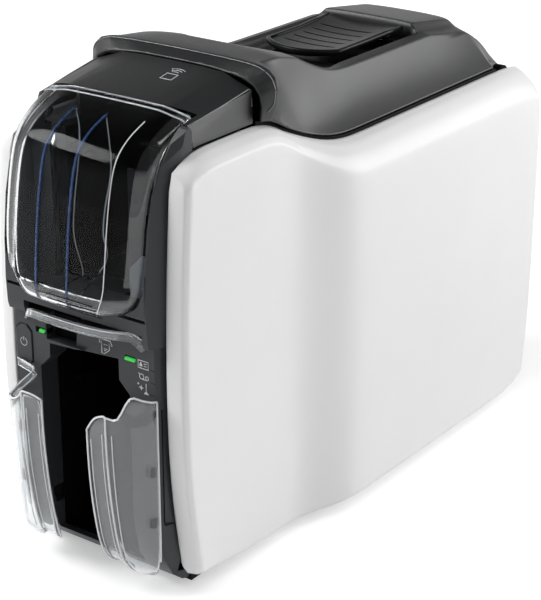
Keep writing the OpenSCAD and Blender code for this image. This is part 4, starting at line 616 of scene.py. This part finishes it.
# Lip over the output slot, with a whitened bar along its upper edge that paints its highlight
lip = {
    "run": [(-38, -163.8, 143.6), (-35.4, -165.4, 146.6), (-30, -167.6, 148.2), (-14, -170.4, 149.4),
            (4, -171.2, 149.9), (20, -170.6, 150.6), (31, -168.8, 151.4), (36, -167, 151.2), (39.6, -165.2, 148.8),
            (42.6, -163.8, 145.4)],
    "size": (3.4, 4.6), "shine": (0.8, 0.7), "shineOff": (0, -1.2, 2.1), "shinePart": slice(5, -9),
}
lipRun = smoothRun(lip["run"])
bars("lipPaintedShine", [[p + Vector(lip["shineOff"]) for p in lipRun[lip["shinePart"]]]], "chassis", clearRimPaintedHighlightPc,
     width=lip["shine"][0], height=lip["shine"][1], up=(0, 0, 1))
slotLip = bars("slotLip", [lipRun], "chassis", clearWingPc, width=lip["size"][0], height=lip["size"][1],
               up=(0, 0.2, 1), square=5, sides=16)
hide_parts("slot_guide")
polishOf("power_button", "buttonSkin", "button", bezelAbs, radii["button"])
polishOf("deck_rim", "rimSkin", "chassis", innerAbs, radii["rim"])
print("mouldings done")

# Release pad, in mm: a bull-nosed rim round a slightly hollow face with five cross grooves. Its outline is an arc
# from the nose at y0, then straight sides that spread by flare from flareFrom to the back at y1. The face dips by
# dish in the middle and rises by rise towards the back.
pad = {
    "halfWidth": 26, "y0": 20.6, "y1": 97.6, "top": 255.4, "flare": 2, "flareFrom": 82, "nose": 33.8,
    "sides": (52, 64.6), "rim": 3.0, "rimHeight": 3.4, "rimDown": 1.4, "faceDown": 0.3, "faceInset": 0.62,
    "dish": 1.5, "rise": 1.2, "riseFrom": 60, "riseTo": 98, "wall": 2.6, "step": 0.55, "steps": 136, "across": 12,
    "grooveFrom": 44, "groovePitch": 9.5, "grooveHalf": 0.55, "grooveDeep": 0.7, "grooveY": (38, 86), "grooveX": 17,
}


def padEdge(inset):
    # Half of the pad's outline from the nose to the back corner, moved in by inset
    half = pad["halfWidth"] - inset
    r = pad["nose"] - inset
    cy = pad["y0"] + pad["nose"]
    run = []
    for k in range(11):
        x = half * math.sin(math.radians(9 * k))
        run.append((x, cy - math.sqrt(max(r * r - x * x, 0))))
    run += [(half, cy - 12)] + [(half, y) for y in pad["sides"]]
    run.append((half + pad["flare"] * 0.4, pad["flareFrom"]))
    run.append((half + pad["flare"], pad["y1"] - inset * 0.5))
    return run


def padRise(y):
    return pad["rise"] * easeIn(pad["riseFrom"], pad["riseTo"], y)


def padHeight(x, y):
    # The face dips towards its middle and rises to the back; each groove is a V with its foot half a pitch on
    dip = pad["dish"] * (1 - (x / pad["halfWidth"]) ** 2)
    off = abs(((y - pad["grooveFrom"]) % pad["groovePitch"]) - pad["groovePitch"] / 2)
    grooved = pad["grooveY"][0] < y < pad["grooveY"][1] and abs(x) < pad["grooveX"]
    groove = max(0, 1 - off / pad["grooveHalf"]) * pad["grooveDeep"] * grooved
    return pad["top"] - pad["faceDown"] - dip + padRise(y) - groove


edge = padEdge(pad["rim"] * pad["faceInset"])
grid = []
for y in sorted({round(pad["y0"] + 2 + pad["step"] * k, 3) for k in range(pad["steps"])}):
    half = max((lerp(a[0], b[0], (y - a[1]) / (b[1] - a[1])) for a, b in zip(edge, edge[1:]) if a[1] <= y <= b[1]),
               default=None)
    if half:
        across = [half * k / pad["across"] for k in range(-pad["across"], pad["across"] + 1)]
        grid.append([(x, y, padHeight(x, y)) for x in across])
bm = bmesh.new()
growRows(bm, grid)
for f in bm.faces:
    f.smooth = True
bmesh.ops.recalc_face_normals(bm, faces=bm.faces)
bm.normal_update()
if sum(f.normal.z for f in bm.faces) < 0:
    bmesh.ops.reverse_faces(bm, faces=bm.faces)
face = addPiece("padFace", meshFrom(bm, "padFace"), "pad", blackSmoothAbs, ["release_pad"])
wall = face.modifiers.new("wall", "SOLIDIFY")
wall.thickness = pad["wall"] * mm
wall.offset = -1
rimHalf = [(x, y, pad["top"] - pad["rimDown"] + padRise(y)) for x, y in padEdge(pad["rim"] / 2)]
bars("padRim", [mirrored(rimHalf)], "pad", blackSmoothAbs, width=pad["rim"], height=pad["rimHeight"],
     up=(0, 0, 1), sides=16, square=2.6)
print("pad done")

# Marks in mm: a card, a ribbon, a sparkle with its stick, the card slot, the power button, and a card with waves on
# the cap
faceY = -163.0
front = {"right": (1, 0, 0), "up": (0, 0, 1)}
printMark("cardMark", "chassis", (40.6, faceY, 136), **front, width=0.45,
          lines=[[(-3.3, -2.1), (3.3, -2.1), (3.3, 2.1), (-3.3, 2.1), (-3.3, -2.1)], [(0.4, 0.7), (2.3, 0.7)],
                 [(0.4, -0.6), (2.3, -0.6)]],
          fills=[[(-2.4, -1.1), (-0.6, -1.1), (-0.6, 0.3), (-2.4, 0.3)], arc(-1.5, 0.8, 0.55, 0, 330, 8)])
printMark("ribbonMark", "chassis", (40.6, faceY, 129.2), **front, width=0.5,
          lines=[arc(-1.2, 0, 1.45, 0, 350), arc(2.4, -0.2, 1.0, 0, 350), [(-3.4, 1.7), (-2.2, 1.0)],
                 [(-0.8, -1.5), (2.3, -1.4)]])
star = [(0, 1.7), (0.42, 0.42), (1.7, 0), (0.42, -0.42), (0, -1.7), (-0.42, -0.42), (-1.7, 0), (-0.42, 0.42)]
printMark("cleanMark", "chassis", (38.9, faceY, 122.8), **front, width=0.5,
          lines=[[(3.3, 3.0), (3.3, -1.6)], [(1.9, -2.9), (4.9, -2.9)]],
          fills=[star, [(x * 0.5 - 1.9, y * 0.5 + 1.9) for x, y in star], [(3.3, -1.2), (4.7, -2.7), (1.9, -2.7)]])
printMark("slotMark", "chassis", (13.4, -160.7, 137.6), **front, width=0.5,
          lines=[[(-4.2, 2.2), (-3.4, 4.4), (3.4, 4.4), (4.6, 2.0), (3.8, 1.8)], [(-4.2, 2.2), (-3.2, 2.2)],
                 [(-2.6, 3.2), (-2.6, -3.6), (-0.8, -3.6), (2.6, -0.9), (2.6, 3.0)],
                 [(-1.2, 1.6), (1.4, 1.6)], [(-1.0, -0.6), (1.2, -0.6), (-0.8, -2.0), (-1.0, -0.6)]])
printMark("powerMark", "button", (-42.0, faceY - 0.8, 127.6), **front, width=0.42,
          lines=[arc(0, 0, 2.3, 115, 425), [(0, 0.6), (0, 2.9)]])
printMark("panelTicks", "chassis", (47.6, faceY, 128), **front, width=0.3, mat=paintedShadeAndTickBlack,
          lines=[[(-2.4, z), (0.4, z - 0.4)] for z in (6.4, -0.6, -7.6)])
printMark("capMark", "chassis", (11.6, -99.6, 267.6), (1, 0, 0), (0, 1, 0), width=0.6, onto=capSkin,
          lines=[[(-3.6, -5.6), (3.6, -5.6), (3.6, 0.6), (-3.6, 0.6), (-3.6, -5.6)], arc(0, 0, 3.4, 50, 130, 8),
                 arc(0, 0, 5.2, 50, 130, 8), arc(0, 0, 7.0, 50, 130, 8)])


def plate(pieceName, outline, depths, body, mat, edge, stands=()):
    # Flat-backed moulding: an outline in X and Z between two depths, with edges rounded by edge mm
    y0, y1 = depths
    bm = bmesh.new()
    prism(bm, [(x, y0, z) for x, z in outline], Vector((0, y1 - y0, 0)))
    bmesh.ops.recalc_face_normals(bm, faces=bm.faces)
    bmesh.ops.bevel(bm, geom=bm.edges[:], offset=edge * mm, offset_type="OFFSET", segments=2, profile=0.5,
                    affect="EDGES", material=-1)
    return addPiece(pieceName, meshFrom(bm, pieceName), body, mat, stands)


# Panel behind the slot's mark, and beside it a black plate that paints the shade in the dark slot
slot = {
    "panel": [(-7.5, 131), (-6, 147), (23.6, 147), (23.6, 133.4)], "panelY": (-155.4, -160.6), "panelEdge": 0.5,
    "shade": [(-25.6, 131), (-25.6, 146.6), (-8, 146.6), (-8, 131)], "shadeY": (-155.2, -156.4), "shadeEdge": 0.2,
}
plate("slotPanel", slot["panel"], slot["panelY"], "chassis", bezelAbs, slot["panelEdge"])
plate("slotPaintedShade", slot["shade"], slot["shadeY"], "chassis", paintedShadeAndTickBlack, slot["shadeEdge"])

# Hopper's flange behind the door, with a paler rib low down and black plates that paint the shade in the square holes
# of its card sensor: x, z and half the width of each
hopper = {
    "flange": [(28, 168), (43, 168), (43, 228), (39, 237), (28, 237)], "flangeY": (-154, -156.4), "flangeEdge": 0.5,
    "rib": [(29, 169), (42.4, 169), (42.4, 197), (29, 185)], "ribY": (-156.2, -158), "ribEdge": 0.4,
    "windows": [(38, 229, 2.6), (31.6, 222.6, 2.6), (37, 212, 3.4)], "windowY": (-156, -157), "windowEdge": 0.2,
}
plate("hopperFlange", hopper["flange"], hopper["flangeY"], "chassis", hopperAbs, hopper["flangeEdge"])
plate("hopperRib", hopper["rib"], hopper["ribY"], "chassis", slateAbs, hopper["ribEdge"])
for k, (x, z, half) in enumerate(hopper["windows"]):
    pane = [(x - half, z - half), (x + half, z - half), (x + half, z + half), (x - half, z + half)]
    plate("hopperHolePaintedShade_%d" % (k + 1), pane, hopper["windowY"], "chassis", paintedShadeAndTickBlack, hopper["windowEdge"])

# Rounded corners under the door
corner = {
    "outline": [(47.4, 188), (46.8, 181), (45.6, 176), (43.4, 171.6), (40, 168), (36, 166), (32, 165.2), (32, 163.6),
                (47.4, 163.6)],
    "y": (-160, -168.7), "edge": 0.4,
}
for side, sign in (("left", -1), ("right", 1)):
    plate("doorCorner_" + side, [(sign * x, z) for x, z in corner["outline"]], corner["y"], "chassis", bezelAbs,
          corner["edge"])

# Status lights: each lens from x to x, with a slant at its ends, in a black plate round it that paints the shade of
# its pocket
lights = {
    "spans": {"left": (-31, -26.8), "right": (28.4, 35.6)}, "z": 136.8, "half": 1, "slant": 0.5,
    "y": (-160, -163.6), "edge": 0.3, "bedLeft": 1.6, "bedRight": 1.2, "bedHalf": 1.4, "bedY": (-158, -162.6),
    "bedEdge": 0.2,
}
for side, (x0, x1) in lights["spans"].items():
    low, high, slant = lights["z"] - lights["half"], lights["z"] + lights["half"], lights["slant"]
    plate("lens_" + side, [(x0, low), (x0 + slant, high), (x1, high), (x1 - slant, low)], lights["y"], "chassis",
          greenPipe, lights["edge"], ["status_light_" + side])
    x0, x1 = x0 - lights["bedLeft"], x1 + lights["bedRight"]
    low, high = lights["z"] - lights["bedHalf"], lights["z"] + lights["bedHalf"]
    plate("lensPocketPaintedShade_" + side, [(x0, low), (x0, high), (x1, high), (x1, low)], lights["bedY"], "chassis", paintedShadeAndTickBlack,
          lights["bedEdge"])
print("marks done")


def showApart(tree, lighting, shown, outputKind):
    # The object is lit by one shader, while the camera, mirrors and clear plastic see the other
    rays = addNode(tree, "ShaderNodeLightPath")
    seen = addNode(tree, "ShaderNodeMath", {0: rays.outputs["Is Camera Ray"], 1: rays.outputs["Is Glossy Ray"]},
                   operation="MAXIMUM")
    seen = addNode(tree, "ShaderNodeMath", {0: seen.outputs[0], 1: rays.outputs["Is Transmission Ray"]},
                   operation="MAXIMUM")
    pick = addNode(tree, "ShaderNodeMixShader", {0: seen.outputs[0], 1: lighting, 2: shown})
    addNode(tree, outputKind, {"Surface": pick.outputs["Shader"]})


# Floor and backdrop, in metres: the floor's own glow grows with the distance from the object, to plain white far off,
# and the mirrored backdrop is white up to the sine hazeFrom of the height above the horizon and dim from hazeTo on
stageSetup = {
    "floorSize": 8.0, "paper": "#F4F4F4", "glow": (0.42, 1.0), "glowFrom": 0.6, "glowTo": 2.4,
    "fill": 0.255, "hazeFrom": 0.2, "hazeTo": 0.45, "ceiling": 0.15,
}
floorBm = bmesh.new()
bmesh.ops.create_grid(floorBm, x_segments=1, y_segments=1, size=stageSetup["floorSize"] / 2)
floorMesh = meshFrom(floorBm, "floor")
floor = bpy.data.objects.new("floor", floorMesh)
scene.collection.objects.link(floor)
floorMat = bpy.data.materials.new("white paper sweep")
floorMat.use_nodes = True
tree = floorMat.node_tree
tree.nodes.clear()
paper = addNode(tree, "ShaderNodeBsdfDiffuse", {"Color": hexColour(stageSetup["paper"])})
away = addNode(tree, "ShaderNodeVectorMath", {0: addNode(tree, "ShaderNodeTexCoord").outputs["Object"]},
               operation="LENGTH")
strength = addNode(tree, "ShaderNodeMapRange", {
    "Value": away.outputs["Value"], "From Min": stageSetup["glowFrom"], "From Max": stageSetup["glowTo"],
    "To Min": stageSetup["glow"][0], "To Max": stageSetup["glow"][1]})
shine = addNode(tree, "ShaderNodeEmission", {"Color": (1, 1, 1, 1), "Strength": strength.outputs["Result"]})
both = addNode(tree, "ShaderNodeAddShader", {0: paper.outputs["BSDF"], 1: shine.outputs["Emission"]})
showApart(tree, paper.outputs["BSDF"], both.outputs["Shader"], "ShaderNodeOutputMaterial")
floorMesh.materials.append(floorMat)

world = bpy.data.worlds.new("studio")
scene.world = world
world.use_nodes = True
tree = world.node_tree
tree.nodes.clear()
fill = addNode(tree, "ShaderNodeBackground", {"Color": (1, 1, 1, 1), "Strength": stageSetup["fill"]})
# Mirrored in the plastics, the backdrop is white low down and darkens towards the ceiling; the camera sees it white
ray = addNode(tree, "ShaderNodeSeparateXYZ", {"Vector": addNode(tree, "ShaderNodeTexCoord").outputs["Generated"]})
height = addNode(tree, "ShaderNodeMapRange", {
    "Value": ray.outputs["Z"], "From Min": stageSetup["hazeFrom"], "From Max": stageSetup["hazeTo"], "To Min": 1.0,
    "To Max": stageSetup["ceiling"]})
height = addNode(tree, "ShaderNodeMath", {
    0: height.outputs["Result"], 1: addNode(tree, "ShaderNodeLightPath").outputs["Is Camera Ray"]},
    operation="MAXIMUM")
backdrop = addNode(tree, "ShaderNodeBackground", {"Color": (1, 1, 1, 1), "Strength": height.outputs[0]})
showApart(tree, fill.outputs["Background"], backdrop.outputs["Background"], "ShaderNodeOutputWorld")
print("stage done")

# Lights: metres and watts
lamps = {
    "key at the right": {"at": (1.35, 1.4, 0.55), "aim": (0.05, 0.0, 0.15), "size": (1.4, 0.9), "watts": 21},
    "high at the back": {"at": (0.9, 1.5, 1.9), "aim": (0.0, -0.05, 0.22), "size": (1.0, 1.0), "watts": 8},
    "top box": {"at": (0.3, -0.1, 1.7), "aim": (0.05, -0.05, 0.2), "size": (0.6, 0.4), "watts": 2.5},
    "front strip": {"at": (-1.0, -0.85, 1.25), "aim": (0.0, -0.17, 0.235), "size": (0.95, 0.5), "watts": 22},
}
for lampName, spec in lamps.items():
    light = bpy.data.lights.new(lampName, "AREA")
    light.shape = "RECTANGLE"
    light.size, light.size_y = spec["size"]
    light.energy = spec["watts"]
    lamp = bpy.data.objects.new(lampName, light)
    lamp.location = spec["at"]
    lamp.visible_camera = False
    lamp.rotation_euler = (Vector(spec["aim"]) - Vector(spec["at"])).to_track_quat("-Z", "Y").to_euler()
    scene.collection.objects.link(lamp)
print("lights done:", len(lamps))
